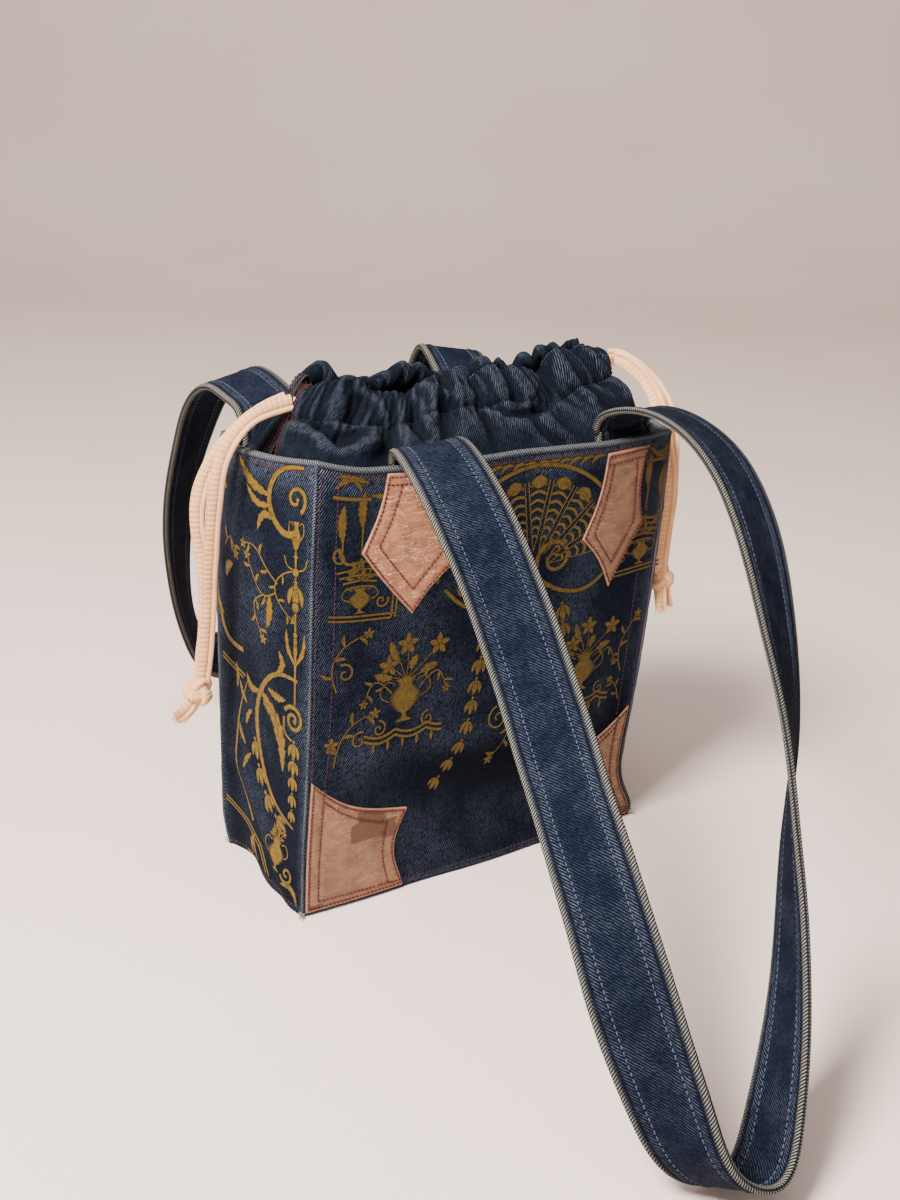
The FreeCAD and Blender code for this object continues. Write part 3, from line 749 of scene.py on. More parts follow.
def leather_patch(name, wall_name, corners, seams, stains, node, dull):
    """A leather patch: puffed between its stitch rows, cut edges pale, held down where it is sewn."""
    wall = WALLS[wall_name]
    rim = outline(corners)
    middle = rim.mean(0)
    outer_seam = middle + (rim - middle) * 0.945
    paths = [closed(outer_seam)] + [smooth(s, PATCH_STEP) for s in seams]
    rings = np.concatenate([np.linspace(0.02, 0.93, 22), [0.955, 0.975, 0.99, 1.0, 1.004]])
    ah = middle + (rim - middle)[None] * rings[:, None, None]
    flat = ah.reshape(-1, 2)
    near = np.full(len(flat), 1e9)
    for path in paths:
        near = np.minimum(near, np.sqrt(((flat[:, None] - path[None]) ** 2).sum(-1)).min(1))
    near = near.reshape(ah.shape[:2])
    a, h = ah[..., 0], ah[..., 1]
    rough = 0.10 * np.sin(0.9 * h + 0.25 * a) * np.sin(0.13 * a + 0.4) + 0.08 * np.sin(0.55 * h - 0.4 * a)
    proud = PATCH_T + 0.35 * (1 - np.exp(-near / 3.0)) - 0.35 * bump(near, 0, 0.8) + rough
    proud[-3:] = [[PATCH_T * 0.9], [PATCH_T * 0.6], [-0.5]]
    p, _ = wall.frame(a, h, proud)
    stain = sum((clip01(1.6 - 1.2 * np.maximum(np.abs(a - s[0]) / s[2], np.abs(h - s[1]) / s[3]))
                 * s[4] for s in stains), np.zeros_like(a))
    edge = np.zeros_like(a)
    edge[-4:-1] = 0.8
    cloth = Cloth()
    uv = np.concatenate([ah, ah[:, :1]], 1)
    # wear carries dull, painted shade over the whole patch, with a faint wavy tone on top
    cloth.grid(p, uv, wrap_cols=True, caps=True, stain=clip01(1.5 * stain), edge=edge,
               wear=clip01(dull + 0.12 * np.sin(a / 9.0) * np.sin(h / 13.0 + 1.0)))
    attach(cloth.make(name, LEATHER, "leather", replaces=[node]), "bag")
    for path in paths:
        line = smooth(path, PATCH_STEP) if len(path) < 4 else path
        q, n = wall.frame(line[:, 0], line[:, 1], PATCH_T)
        red.run(q, n, pitch=2.5, radius=0.42, lift=0.12, share=0.78)


FRONT_LEFT = [((-78, 264), None), ((-41, 262), (-37, 235)), ((-30, 207), (-46, 193)),
              ((-57, 179), (-73, 197)), ((-91, 219), (-81, 244))]
FRONT_RIGHT = [((71.3, 259.5), None), ((102, 261), (99, 238)), ((104, 212), (92.5, 193)),
               ((82.6, 173.6), (72, 193)), ((58.6, 207.5), (68, 233))]
CORNER = [((-118, 1.6), None), ((-117.3, 85), (-93, 66.5)), ((-48.7, 53.5), (-57.8, 30)), ((-53.5, 1.6), None)]
FRONT_LEFT_SEAMS = [[(-79, 257.5), (-41, 256)], [(-69, 257), (-73, 240), (-80.4, 222)],
                    [(-80.4, 222), (-57.8, 194.1)], [(-57.8, 194.1), (-38.6, 216)],
                    [(-38.6, 216), (-46, 256)]]
FRONT_RIGHT_SEAMS = [[(71, 252.5), (101.5, 254.5)], [(76, 252.5), (72.5, 230), (66.5, 210)],
                     [(66.5, 210), (82, 189.5)], [(82, 189.5), (96, 214.5)], [(96, 214.5), (93.5, 253.5)]]
CORNER_SEAMS = [[(-108.8, 80), (-110.5, 8)], [(-108.8, 72), (-90.5, 58.5), (-62.7, 47.5)],
                [(-63.5, 47.5), (-66.5, 25), (-64, 6)], [(-111, 8), (-54.5, 6)]]
CORNER_STAINS = [(-75, 56, 9.5, 3.6, 0.8), (-78, 46, 11, 5.5, 1.0), (-62, 44, 5, 6, 0.8),
                 (-112, 4, 6, 2.5, 0.5), (-60, 6, 8, 2, 0.35), (-100, 20, 7, 1.2, 0.3), (-80, 62, 3, 2, 0.5)]


def flipped(corners):
    """The same outline mirrored left to right."""
    return [((-c[0], c[1]), None if m is None else (-m[0], m[1])) for c, m in corners]


def flip(paths):
    """The same paths mirrored left to right."""
    return [[(-a, h) for a, h in path] for path in paths]


for face in ("front", "back"):
    # seen from behind, the back wall runs the other way, so its left is the CAD's right
    one, other = ("left", "right") if face == "front" else ("right", "left")
    # dull darkens a whole patch as painted shade; the right-hand strap patch and the corner patches get it
    for kind, hand, corners, seams, stains, dull in (
        ("strap_patch_", one, FRONT_LEFT, FRONT_LEFT_SEAMS, [], 0.0),
        ("strap_patch_", other, FRONT_RIGHT, FRONT_RIGHT_SEAMS, [], 1.0),
        ("corner_patch_", one, CORNER, CORNER_SEAMS, CORNER_STAINS, 0.85),
        ("corner_patch_", other, flipped(CORNER), flip(CORNER_SEAMS), [(110, 5, 7, 4, 0.8)], 0.85),
    ):
        leather_patch(kind + "leather_" + face + "_" + hand, face, corners, seams, stains,
                      kind + face + "_" + hand, dull)


# ================================================================ printed ornament

INK_LIFT, BEAD_LIFT = 0.22, 0.24  # how far the ink stands proud of the cloth
GUSSET_MIDDLE = 36.0  # the middle line of the gusset's ornament


class Ink:
    """Printed scrollwork on one wall, drawn with brush strokes of changing width.

    Places are (a, h) from a middle line of the drawing, which a sign of -1 mirrors.
    """

    def __init__(self, wall, sign, middle):
        self.wall, self.cloth = WALLS[wall], Cloth()
        self.middle, self.turn = arr([middle, 0.0]), arr([sign, 1.0])

    def ribbon(self, line, widths, tooth=0.0, teeth=0):
        """A stroke along a line, with its width at each point. Teeth notch its sides."""
        line = (line + self.middle) * self.turn
        t = np.gradient(line, axis=0)
        side = unit(np.stack([-t[:, 1], t[:, 0]], 1))
        widths = widths * (1.0 - tooth * ((np.linspace(0, 1, len(line)) * teeth) % 1.0))
        half = side * widths[:, None] / 2.0
        ah = np.stack([line - half, line, line + half], 1)
        p, _ = self.wall.frame(ah[..., 0], ah[..., 1], INK_LIFT)
        self.cloth.grid(p, ah, edge=arr([1.0, 0.0, 1.0]))

    def stroke(self, points, w0, w1=None, swell=0.0, tooth=0.0, teeth=0):
        """A smooth stroke through points, tapering from one width to another."""
        line = smooth(points, 0.9)
        t = np.linspace(0, 1, len(line))
        w = w0 + ((w0 if w1 is None else w1) - w0) * t + swell * np.sin(math.pi * t)
        self.ribbon(line, w, tooth, teeth)

    def leaf(self, start, end, width, bend, teeth):
        """A pointed leaf with notched sides and a dark vein."""
        a, b = arr(start), arr(end)
        side = arr([-(b - a)[1], (b - a)[0]])
        line = smooth([a, (a + b) / 2 + side * bend, b], 0.6)
        t = np.linspace(0, 1, len(line))
        w = width * np.sin(math.pi * clip01(t * 0.93 + 0.05)) ** 0.75
        self.ribbon(line, w, 0.38, teeth)

    def spiral(self, centre, radius, turns, start, w0, w1, hand=1.0):
        """A scroll that winds in to a bead."""
        t = np.linspace(0, 1, max(12, int(radius * turns * 5)))
        angle = math.radians(start) + hand * TAU * turns * t
        r = radius * (1 - 0.82 * t)
        line = arr(centre) + np.stack([r * np.cos(angle), r * np.sin(angle)], 1)
        self.ribbon(line, w0 + (w1 - w0) * t)
        self.bead(line[-1], w1 * 0.75)

    def bead(self, at, r):
        """A round dot."""
        turn = np.linspace(0, TAU, 13)
        ring = arr(at) + r * np.stack([np.cos(turn), np.sin(turn)], 1)
        ah = (np.stack([np.broadcast_to(arr(at), ring.shape), ring]) + self.middle) * self.turn
        p, _ = self.wall.frame(ah[..., 0], ah[..., 1], BEAD_LIFT)
        self.cloth.grid(p, ah, edge=arr([0.0, 1.0])[:, None])

    def bell(self, at, angle, size):
        """A bellflower: a bead, then three petals."""
        c, s = math.cos(math.radians(angle)), math.sin(math.radians(angle))
        a = arr(at)
        along, side = arr([c, s]), arr([-s, c])
        self.bead(a, size * 0.12)
        self.leaf(a + along * size * 0.12, a + along * size, size * 0.42, 0, 0)
        for k in (-1, 1):
            self.leaf(a + along * size * 0.15 + side * k * size * 0.08,
                      a + along * size * 0.86 + side * k * size * 0.36, size * 0.3, k * 0.12, 0)

    def chain(self, points, size, count, end_size=None):
        """Bellflowers strung along a line."""
        line = smooth(points, 0.7)
        for k in range(count):
            i = int((len(line) - 1) * k / count)
            j = min(len(line) - 1, i + 5)
            d = line[j] - line[i]
            s = size + ((end_size or size) - size) * k / max(1, count - 1)
            self.bell(line[i], math.degrees(math.atan2(d[1], d[0])), s)

    def sprig(self, points, leaf_size, count):
        """A thin curling stem with leaves on both sides and a flower at its end."""
        line = smooth(points, 0.8)
        self.ribbon(line, np.linspace(1.3, 0.8, len(line)))
        for k in range(1, count + 1):
            i = int((len(line) - 2) * k / (count + 0.5))
            d = unit(line[i + 1] - line[i])
            n = arr([-d[1], d[0]]) * (1 if k % 2 else -1)
            self.leaf(line[i], line[i] + d * leaf_size * 0.6 + n * leaf_size, leaf_size * 0.5, 0.1, 3)
        self.rosette(line[-1], leaf_size * 0.45)

    def rosette(self, at, r):
        """A small flower."""
        for k in range(5):
            turn = TAU * k / 5 + 0.3
            self.leaf(at, arr(at) + r * arr([math.cos(turn), math.sin(turn)]) * 1.25, r * 0.8, 0, 0)

    def vase(self, foot, height, width):
        """A footed urn, drawn by its profile, with two handles."""
        x, y = foot
        profile = [(0, 0.55), (0.04, 0.5), (0.1, 0.16), (0.2, 0.14), (0.26, 0.45), (0.45, 0.9),
                   (0.62, 1.0), (0.74, 0.72), (0.84, 0.42), (0.93, 0.5), (1.0, 0.72)]
        t = np.linspace(0, 1, int(height / 0.7))
        w = np.interp(t, *zip(*profile)) * width
        self.ribbon(np.stack([np.full_like(t, x), y + t * height], 1), w)
        for k in (-1, 1):
            self.stroke([(x + k * width * 0.4, y + height * 0.5), (x + k * width * 0.72, y + height * 0.72),
                         (x + k * width * 0.55, y + height * 0.98), (x + k * width * 0.3, y + height * 0.9)],
                        1.0, 0.8)

    def bouquet(self, at, r):
        """Leaves and flowers that stand up out of a vase."""
        x, y = at
        for k in range(7):
            turn = math.radians(18 + 24 * k)
            reach = r * (0.8 + 0.25 * math.sin(2.1 * k))
            tip = (x + reach * math.cos(turn), y + reach * math.sin(turn))
            self.stroke([at, ((x + tip[0]) / 2 + 0.8, (y + tip[1]) / 2), tip], 0.8, 0.7)
            if k % 2:
                self.rosette(tip, r * 0.2)
            else:
                self.leaf(tuple(0.55 * arr(at) + 0.45 * arr(tip)), tip, r * 0.26, 0.05, 3)

    def shell(self, centre, radius, low, high, ribs):
        """A fan of beaded ribs inside a double rim."""
        c = arr(centre)
        for k in range(ribs):
            turn = math.radians(low + (high - low) * (k + 0.5) / ribs)
            d = arr([math.cos(turn), math.sin(turn)])
            side = arr([-d[1], d[0]])
            room = radius * math.radians(high - low) / ribs
            for e in (-1, 1):
                self.stroke([c + d * radius * 0.2, c + d * radius * 0.55 + side * e * room * 0.2,
                             c + d * radius * 0.93 + side * e * room * 0.4], 0.8, 1.1)
            for m in range(7):
                f = 0.34 + 0.09 * m
                self.stroke([c + d * radius * f - side * room * 0.36 * f,
                             c + d * radius * (f + 0.035),
                             c + d * radius * f + side * room * 0.36 * f], 1.2 + 0.9 * f, swell=0.5)
            self.leaf(c + d * radius * 0.86, c + d * radius * 0.99, room * 0.7, 0, 0)
        arc = [c + radius * 1.09 * arr([math.cos(q), math.sin(q)])
               for q in np.radians(np.linspace(low - 8, high + 6, 9))]
        self.stroke(arc, 2.0, 2.6, 0.8)

    def double(self, points):
        """A frame of two lines."""
        p = arr(points)
        for shift in (-1.3, 1.3):
            for a, b in zip(p, p[1:]):
                d = unit(b - a)
                n = arr([-d[1], d[0]]) * shift
                self.stroke([a + n - d * abs(shift), b + n + d * shift], 1.5)

    def make(self, name, dull):
        """The ink as one piece."""
        self.cloth.paint["wear"] = [np.full(self.cloth.count, dull)]
        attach(self.cloth.make(name, GOLD, "body_denim", facing=self.wall.out), "bag")


def gusset_print(ink):
    """Candelabrum with scrolls, leaf sprays and a bellflower garland, drawn from its middle line."""
    ink.spiral((-1, 246), 8, 1.15, -60, 3.0, 2.0)
    ink.stroke([(4, 263), (-12, 261), (-22, 248), (-19, 234), (-6, 226), (0, 228)], 2.2, 4.6, 0.8)
    ink.leaf((-22, 245), (-50, 263), 8, 0.12, 6)
    ink.leaf((-20, 240), (-42, 248), 6, 0.2, 5)
    ink.leaf((-16, 232), (-32, 224), 6.5, -0.35, 5)
    ink.vase((0, 214), 20, 8)
    for h, w in ((206, 6), (198, 4), (186, 7), (170, 4)):
        ink.bead((0, h), w / 2)
    ink.stroke([(0, 222), (0, 160)], 1.8)
    for k in (-1, 1):
        ink.stroke([(0, 207), (k * 7, 209), (k * 9, 214)], 1.2, 1.0)
    ink.bell((0, 200), -90, 15)
    ink.sprig([(-3, 206), (-13, 201), (-17, 194), (-12, 184), (-2, 178)], 5, 4)
    ink.sprig([(-15, 196), (-26, 205), (-36, 214), (-46, 213)], 6, 3)
    ink.sprig([(-16, 191), (-28, 187), (-35, 194), (-42, 207)], 6, 3)
    ink.sprig([(-27, 187), (-36, 180), (-34, 170), (-28, 160)], 6, 3)
    ink.leaf((-22, 188), (-24, 168), 8, 0.05, 5)
    for k in (-1, 0, 1):
        ink.leaf((0, 152), (k * 7.5, 172), 4.4, k * -0.12, 3)
    ink.stroke([(0, 153), (0, 128)], 2.2, 1.8)
    ink.spiral((-1, 119), 8.5, 1.5, 150, 3.2, 2.2, -1)
    ink.stroke([(-9, 119), (-8, 109), (-2, 106)], 2.2, 1.6)
    ink.chain([(0, 106), (0, 52)], 11.5, 5, 8)
    ink.stroke([(2, 143), (-14, 143), (-28, 133), (-38, 113), (-34, 82), (-20, 62), (2, 52)],
               2.4, 2.0, 3.6, 0.25, 22)
    ink.leaf((-34, 128), (-10, 84), 12, 0.16, 8)
    ink.leaf((-30, 120), (-16, 102), 8, 0.2, 5)
    ink.leaf((-16, 143), (-14, 157), 6, -0.3, 4)
    ink.leaf((-35, 126), (-49, 132), 7, 0.3, 5)
    ink.leaf((-24, 131), (-8, 129), 7, -0.1, 5)
    ink.chain([(-42, 92), (-36, 72), (-22, 55), (-1, 47)], 13, 4)
    ink.stroke([(-81, 163), (-73, 149), (-52, 145)], 4.2, 3.6)
    ink.double([(-78, 133), (-52, 128)])
    ink.leaf((-76, 160), (-84, 180), 6, 0.2, 5)
    ink.leaf((-62, 134), (-62, 118), 5, 0.1, 4)
    ink.stroke([(-50, 33), (-60, 52), (-64, 80), (-58, 108), (-48, 128)], 2.6, 1.0, 0.8, 0.3, 14)
    for k, h in enumerate((52, 68, 84, 98, 112)):
        ink.leaf((-62 + 0.1 * h, h), (-62 + 0.1 * h + (8 if k % 2 else -7), h + 12), 5, 0.1, 3)
    ink.double([(-80, 36), (-56, 30), (-40, 20), (-30, 6)])
    ink.vase((-14, 18), 20, 16)
    ink.bouquet((-14, 38), 10)
    ink.spiral((-3, 20), 6, 1.2, 200, 2.4, 1.6)
    ink.leaf((-8, 12), (8, 4), 5, 0.3, 5)
    ink.leaf((-54, 8), (-46, 26), 6, 0.1, 4)
    ink.leaf((-44, 8), (-48, 22), 4.5, 0.1, 3)
    ink.sprig([(-70, 205), (-62, 212), (-55, 204)], 7, 3)
    ink.spiral((-76, 236), 9, 1.0, 20, 3.4, 2.0)
    ink.leaf((-70, 186), (-60, 196), 8, 0.2, 5)


def corner_frame(ink, x, hand):
    """A corner of framing lines with an urn, two torches and scrolls inside."""
    def at(a, h):
        return x + hand * a, h

    ink.double([at(-14, 182), at(26, 180), at(27, 198)])
    ink.spiral(at(24, 206), 6, 1.2, -90, 2.2, 1.4, hand)
    ink.spiral(at(18, 190), 4.5, 1.1, 20, 1.6, 1.2, -hand)
    ink.vase(at(4, 184), 15, 16)
    for k in range(4):
        ink.stroke([at(-5 - 2 * k, 199 + 3 * k), at(4, 200 + 3.4 * k), at(13 + 1.5 * k, 199 + 3 * k)], 1.4)
    ink.bouquet(at(4, 203), 13)
    for dx, dh in ((-8, 0), (4, 8), (15, -3)):
        ink.stroke([at(dx, 219), at(dx, 229 + dh)], 1.3)
        ink.leaf(at(dx, 226 + dh), at(dx, 246 + dh), 7.5, 0.05, 6)
    ink.stroke([at(-10, 222), at(-6, 214), at(4, 214), at(14, 215)], 2.2, 1.6)
    ink.spiral(at(-9, 217), 5, 1.1, 90, 1.8, 1.2, hand)
    ink.stroke([at(-15, 250), at(8, 250)], 2.4)
    ink.leaf(at(-14, 255), at(6, 259), 5, 0.2, 4)
    ink.leaf(at(8, 252), at(24, 258), 5, -0.2, 5)
    ink.leaf(at(-12, 262), at(2, 254), 4, 0.2, 4)


def flower_stand(ink, x, h, size):
    """An urn of flowers on a little scalloped stand."""
    ink.vase((x, h), size * 0.48, size * 0.42)
    ink.bouquet((x, h + size * 0.46), size * 0.5)
    for k in (-1, 1):
        ink.sprig([(x + k * size * 0.16, h + size * 0.34), (x + k * size * 0.38, h + size * 0.5),
                   (x + k * size * 0.5, h + size * 0.28)], size * 0.1, 3)
        ink.spiral((x + k * size * 0.3, h - 1.5), size * 0.09, 1.2, 90, 1.6, 1.1, k)
    for d in (0, 3.4):
        line = [(x - size * 0.48 + size * 0.96 * q, h - 4 - d - 3.0 * abs(math.sin(math.pi * 2.5 * q)))
                for q in np.linspace(0, 1, 21)]
        ink.stroke(line, 1.9)
    for k in range(5):
        a = x + size * (0.18 * k - 0.36)
        ink.leaf((a, h - 10), (a, h - 16), 2.6, 0, 0)


def big_print(ink):
    """The front and back walls' ornament: framed urns, a shell, garlands and flower stands."""
    corner_frame(ink, -95, 1)
    corner_frame(ink, 110, -1)
    ink.sprig([(-104, 138), (-107, 154), (-98, 166), (-84, 171)], 6.5, 4)
    ink.spiral((-99, 149), 6, 1.1, 120, 1.8, 1.2, -1)
    ink.sprig([(-104, 92), (-100, 108), (-90, 118), (-78, 121)], 7, 4)
    ink.spiral((-88, 106), 5.5, 1.1, 60, 1.7, 1.2)
    ink.rosette((-106, 106), 4)
    flower_stand(ink, -58, 112, 56)
    flower_stand(ink, 72, 106, 50)
    ink.shell((24, 192), 60, 8, 172, 9)
    ink.spiral((40, 198), 13, 1.4, 200, 3.6, 2.2, -1)
    ink.spiral((8, 198), 13, 1.4, -20, 3.6, 2.2)
    ink.stroke([(84, 190), (66, 176), (44, 178), (30, 186)], 2.6, 3.4)
    ink.stroke([(-36, 190), (-18, 176), (4, 178), (18, 186)], 2.6, 3.4)
    ink.chain([(-1, 168), (-8, 136), (-12, 104), (-22, 76), (-36, 58)], 12, 9, 9)
    ink.chain([(49, 168), (53, 140), (50, 112), (44, 88), (36, 70)], 12, 8, 9)
    ink.leaf((-18, 172), (-4, 158), 9, 0.2, 6)
    ink.spiral((-22, 188), 6, 1.2, 60, 2.2, 1.5)
    ink.spiral((10, 100), 8, 1.3, 100, 1.8, 1.2)
    ink.sprig([(10, 108), (18, 96), (16, 82), (8, 72)], 6, 4)
    ink.sprig([(104, 112), (100, 128), (106, 142), (112, 150)], 6, 4)
    ink.sprig([(106, 92), (102, 102), (96, 108)], 5, 3)
    for a in range(-28, 66, 8):
        ink.leaf((a, 255), (a + 9, 259), 3.6, 0.2, 3)


for wall_name, sign, middle, maker, dull in (
    ("left", 1.0, GUSSET_MIDDLE, gusset_print, 0.0), ("right", -1.0, GUSSET_MIDDLE, gusset_print, 0.0),
    ("front", 1.0, 0.0, big_print, 0.55), ("back", 1.0, 0.0, big_print, 0.55),
):
    ink = Ink(wall_name, sign, middle)
    maker(ink)
    ink.make("printed_ornament_" + wall_name, dull)


# ================================================================ gathered collar

COLLAR_Z0 = 257.0  # height of the sewn line inside the rim
# The sewn line and the mouth of the front half, seen from above, and the height of each half's mouth.
SEWN = [(-113, -2.5), (-114.5, -22), (-111, -40), (-98, -49), (-60, -51), (0, -51.5), (60, -52),
        (100, -51), (112.5, -42), (116, -22), (115, -2.5)]
MOUTH = [(-86, -1.5), (-88, -4), (-82, -6.5), (-60, -5.5), (-20, -4.6), (20, -4.6), (60, -5),
         (98, -6), (108, -5), (109, -1.5)]
MOUTH_Z = {
    "front": [
        (-90, 300), (-80, 302.5), (-68, 303), (-58, 299), (-50, 294), (-38, 291), (-28, 291.5), (-22, 294),
        (-8, 297.5), (2, 298), (13, 295), (21, 298), (34, 297.5), (48, 295), (58, 293), (66, 300.5),
        (82, 304), (96, 303.5), (104, 300), (110, 293),
    ],
    "back": [
        (-90, 304), (-80, 307.5), (-70, 307), (-63, 300), (-52, 299), (-40, 297), (-30, 301.5), (-16, 302),
        (-3, 296.5), (11, 296), (24, 298), (36, 300), (47, 294.5), (56, 298), (64, 301.5), (76, 304),
        (92, 304.5), (104, 301), (112, 295),
    ],
}
CASING_T0 = 0.60  # where the casing's stitch line runs, as a share of the collar's slope


def random_folds(seed, low, high, spread, stretch=1.0):
    """Rounded ridges and narrow valleys of uneven size over (s, h), as a function. spread is their lean."""
    rng, waves = np.random.default_rng(seed), 22
    pitches, leans = rng.uniform(low, high, waves), rng.uniform(-spread, spread, waves)
    phases, weights = rng.uniform(0, TAU, waves), rng.uniform(0.5, 1.0, waves)

    def fold(s, h):
        y = sum(w * np.sin(TAU / k * (s * math.cos(q) + h * math.sin(q) / stretch) + p)
                for k, q, p, w in zip(pitches, leans, phases, weights)) / 3.6
        return 1.0 - 2.0 * (np.clip(1.05 - np.clip(y, -1.05, 1.05), 0, None) / 2.1) ** 1.4

    return fold


HALF_LENGTH = 260.0  # the length of half the collar, in the measure of its folds
COLLAR_H = 60.0  # the slope's length from the sewn line to the mouth
PUCKERS = {"front": random_folds(11, 13, 30, 0.4, 1.6), "back": random_folds(29, 11, 26, 0.4, 1.6)}
CREASES = {"front": random_folds(5, 4, 8, 0.5, 1.6), "back": random_folds(8, 4, 8, 0.5, 1.6)}
DRAPES = {"front": random_folds(31, 26, 62, 1.0), "back": random_folds(47, 26, 62, 1.0)}
# Single creases of the front half: path over (s, h), height, width.
DRAGS = [
    ([(8, 31), (20, 29), (30, 27), (40, 19), (50, 20), (60, 21)], 4.4, 4.0),
    ([(27, 33), (40, 27), (46, 28), (52, 37), (51, 42), (46, 46)], -6.0, 4.8),
    ([(46, 54), (58, 50), (68, 37)], 2.2, 2.2), ([(86, 54), (90, 43), (96, 28)], 2.6, 2.6),
    ([(92, 56), (98, 46), (100, 34)], 2.4, 2.4), ([(80, 56), (85, 37), (93, 22)], -4.4, 3.4),
    ([(102, 48), (118, 43), (130, 38), (141, 31)], 3.2, 4.2),
    ([(136, 60), (140, 48), (140, 36), (152, 28), (178, 36)], -4.4, 3.6),
    ([(199, 60), (188, 48), (178, 37), (163, 20), (169, 7)], -3.8, 3.6),
    ([(232, 60), (224, 50), (222, 36)], -4.0, 3.4), ([(36, 56), (40, 47), (47, 43)], -2.6, 2.6),
    ([(207, 60), (203, 46), (206, 30)], 2.4, 4.0), ([(240, 50), (236, 36), (228, 22)], 2.2, 4.0),
]


def collar_profile():
    """The cloth's way up from the sewn line, round the casing and back to its stitch line: (t, out)."""
    wall = [(t, 0.0) for t in np.linspace(0, CASING_T0, 34)]
    turn = np.radians(np.linspace(12, 348, 44))
    middle, half = (CASING_T0 + 1.0) / 2.0, (1.0 - CASING_T0) / 2.0
    return arr(wall + [(middle - half * math.cos(q), math.sin(q)) for q in turn])


def collar_surface(side, u, prof):
    """Points of half of the collar: rows up the profile, columns along it."""
    sign = 1.0 if side == "front" else -1.0
    sewn, mouth = smooth(SEWN, 0.5), smooth(MOUTH, 0.5)
    low, high = pick(sewn, chord(sewn), u), pick(mouth, chord(mouth), u)
    if side == "back":
        low[:, 1] *= 47.0 / 51.0
    top = spline(*arr(MOUTH_Z[side]).T, high[:, 0])
    base = np.column_stack([low[:, 0], low[:, 1] * sign, np.full(len(u), COLLAR_Z0)])
    lip = np.column_stack([high[:, 0], high[:, 1] * sign, top])
    rise = lip - base
    out = unit(np.cross(np.gradient(base * 0.4 + lip * 0.6, axis=0), rise)) * sign
    t, off = prof[:, :1], prof[:, 1:]
    s = (u * HALF_LENGTH)[None, :]
    hem = clip01(np.minimum(u, 1 - u) / 0.035)[None, :] ** 0.7
    up = clip01(t / CASING_T0)
    loop = (np.abs(off) > 1e-6).astype(float)
    # folds change as they go down, and the fine ones die out first
    h = np.minimum(t, 1.0) * COLLAR_H + 6.0 * (off < 0)
    below = CASING_T0 - np.minimum(t, CASING_T0)
    pucker = PUCKERS[side](s, h) * bump(below, 0, 0.34)
    crease = CREASES[side](s, h) * bump(below, 0, 0.2)
    drape = DRAPES[side](s, h) * np.sin(math.pi * clip01(up * 0.8 + 0.02))
    drape = drape * (0.6 if side == "front" else 1.0)
    drag = np.zeros_like(s + h)
    for path, height, width in DRAGS if side == "front" else []:
        q = smooth(path, 2.0)
        near = np.hypot(s[..., None] - q[:, 0], h[..., None] - q[:, 1])
        drag = drag + height * bump(near.min(-1), 0, width) * (off >= 0)
    drag = np.where(t > CASING_T0 - 0.02, np.maximum(drag, -1.3), drag)
    billow = np.sin(math.pi * up * 0.9) * (4.5 + 1.5 * np.sin(s / 33.0))
    pinch = bump(t, CASING_T0, 0.06)
    fat = np.where(off < 0, 6.6 if side == "back" else 5.0, 4.0)
    n = off * fat * (1.0 + 0.16 * pucker * hem) + (1 - loop) * (billow + 3.6 * drape) * hem
    n = n + (1.6 * pucker + 0.35 * crease + drag) * hem - 0.3 * pinch * (off >= 0)
    p = base[None] + rise[None] * t[..., None] + out[None] * n[..., None]
    p[..., 2] += loop * hem * (0.9 * pucker + 0.1 * crease) * clip01((t - CASING_T0) / 0.4)
    return p, (1.6 * pucker + 0.5 * crease + drag + 3.0 * drape * (1 - loop)) * hem


def blurred(field, rows, cols):
    """A grid of values smoothed over so many rows and columns."""
    for axis, reach in ((0, rows), (1, cols)):
        share = np.exp(-0.5 * (np.arange(-2 * reach, 2 * reach + 1) / reach) ** 2)
        wide = np.pad(field, [(2 * reach, 2 * reach) if k == axis else (0, 0) for k in range(2)], "edge")
        field = sum(w * np.take(wide, range(i, i + field.shape[axis]), axis)
                    for i, w in enumerate(share)) / share.sum()
    return field


def collar_half(side):
    """Half of the gathered collar with its casing, hemmed and sewn in red at both ends."""
    prof = collar_profile()
    u = np.linspace(0, 1, 560)
    p, relief = collar_surface(side, u, prof)
    near_hem = bump(np.minimum(u, 1 - u), 0, 0.004)[None, :]
    # the ridges are rubbed pale, less so low down, and the valleys are darkened with painted shade
    relief = relief - blurred(relief, 4, 11)
    crest, valley_shade = clip01(relief / 0.75), clip01(-relief / 1.1)
    rubbing = 0.6 + 0.4 * clip01((prof[:, :1] - 0.2) / 0.3)
    cloth = Cloth()
    cloth.grid(p, cloth_uv(u * HALF_LENGTH * 1.25, lengths(p[:, 280])), edge=0.5 * near_hem, grime=0.7 * valley_shade,
               wear=clip01(1.1 * rubbing * crest + 0.08))
    ob = cloth.make("gathered_collar_" + side, DENIM_COLLAR, "collar_denim", thick=0.9,
                    replaces=["collar_" + side, "casing_" + side])
    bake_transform(ob)
    red_rows, blue_row = Rows(), Rows()
    for place in (0.010, 0.019, 0.990, 0.981):
        q, _ = collar_surface(side, arr([place - 0.002, place, place + 0.002]), prof[:56])
        n = unit(np.cross(q[:, 2] - q[:, 0], np.gradient(q[:, 1], axis=0)))
        k = len(n) // 2  # the rows lie on the side that faces away from the bag's middle
        n = n * np.sign((n[k] * (q[k, 1] - arr([0, 0, 280]))).sum())
        red_rows.run(q[3:, 1], n[3:], pitch=2.5, radius=0.3, lift=0.3)
    line, _ = collar_surface(side, np.linspace(0.02, 0.98, 420), prof[32:35])
    n = unit(np.cross(np.gradient(line[1], axis=0), line[2] - line[0]))
    n = n * np.sign(n[:, 2:3] + 1e-9)
    blue_row.run(line[1], n, pitch=2.9, radius=0.26, lift=0.15)
    for rows, name, mat in ((red_rows, "collar_end_stitches_", THREAD_RED),
                            (blue_row, "casing_stitches_", THREAD_DARK)):
        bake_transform(rows.cloth.make(name + side, mat, "collar_denim"))


for half_name in ("front", "back"):
    collar_half(half_name)


# ================================================================ drawcords

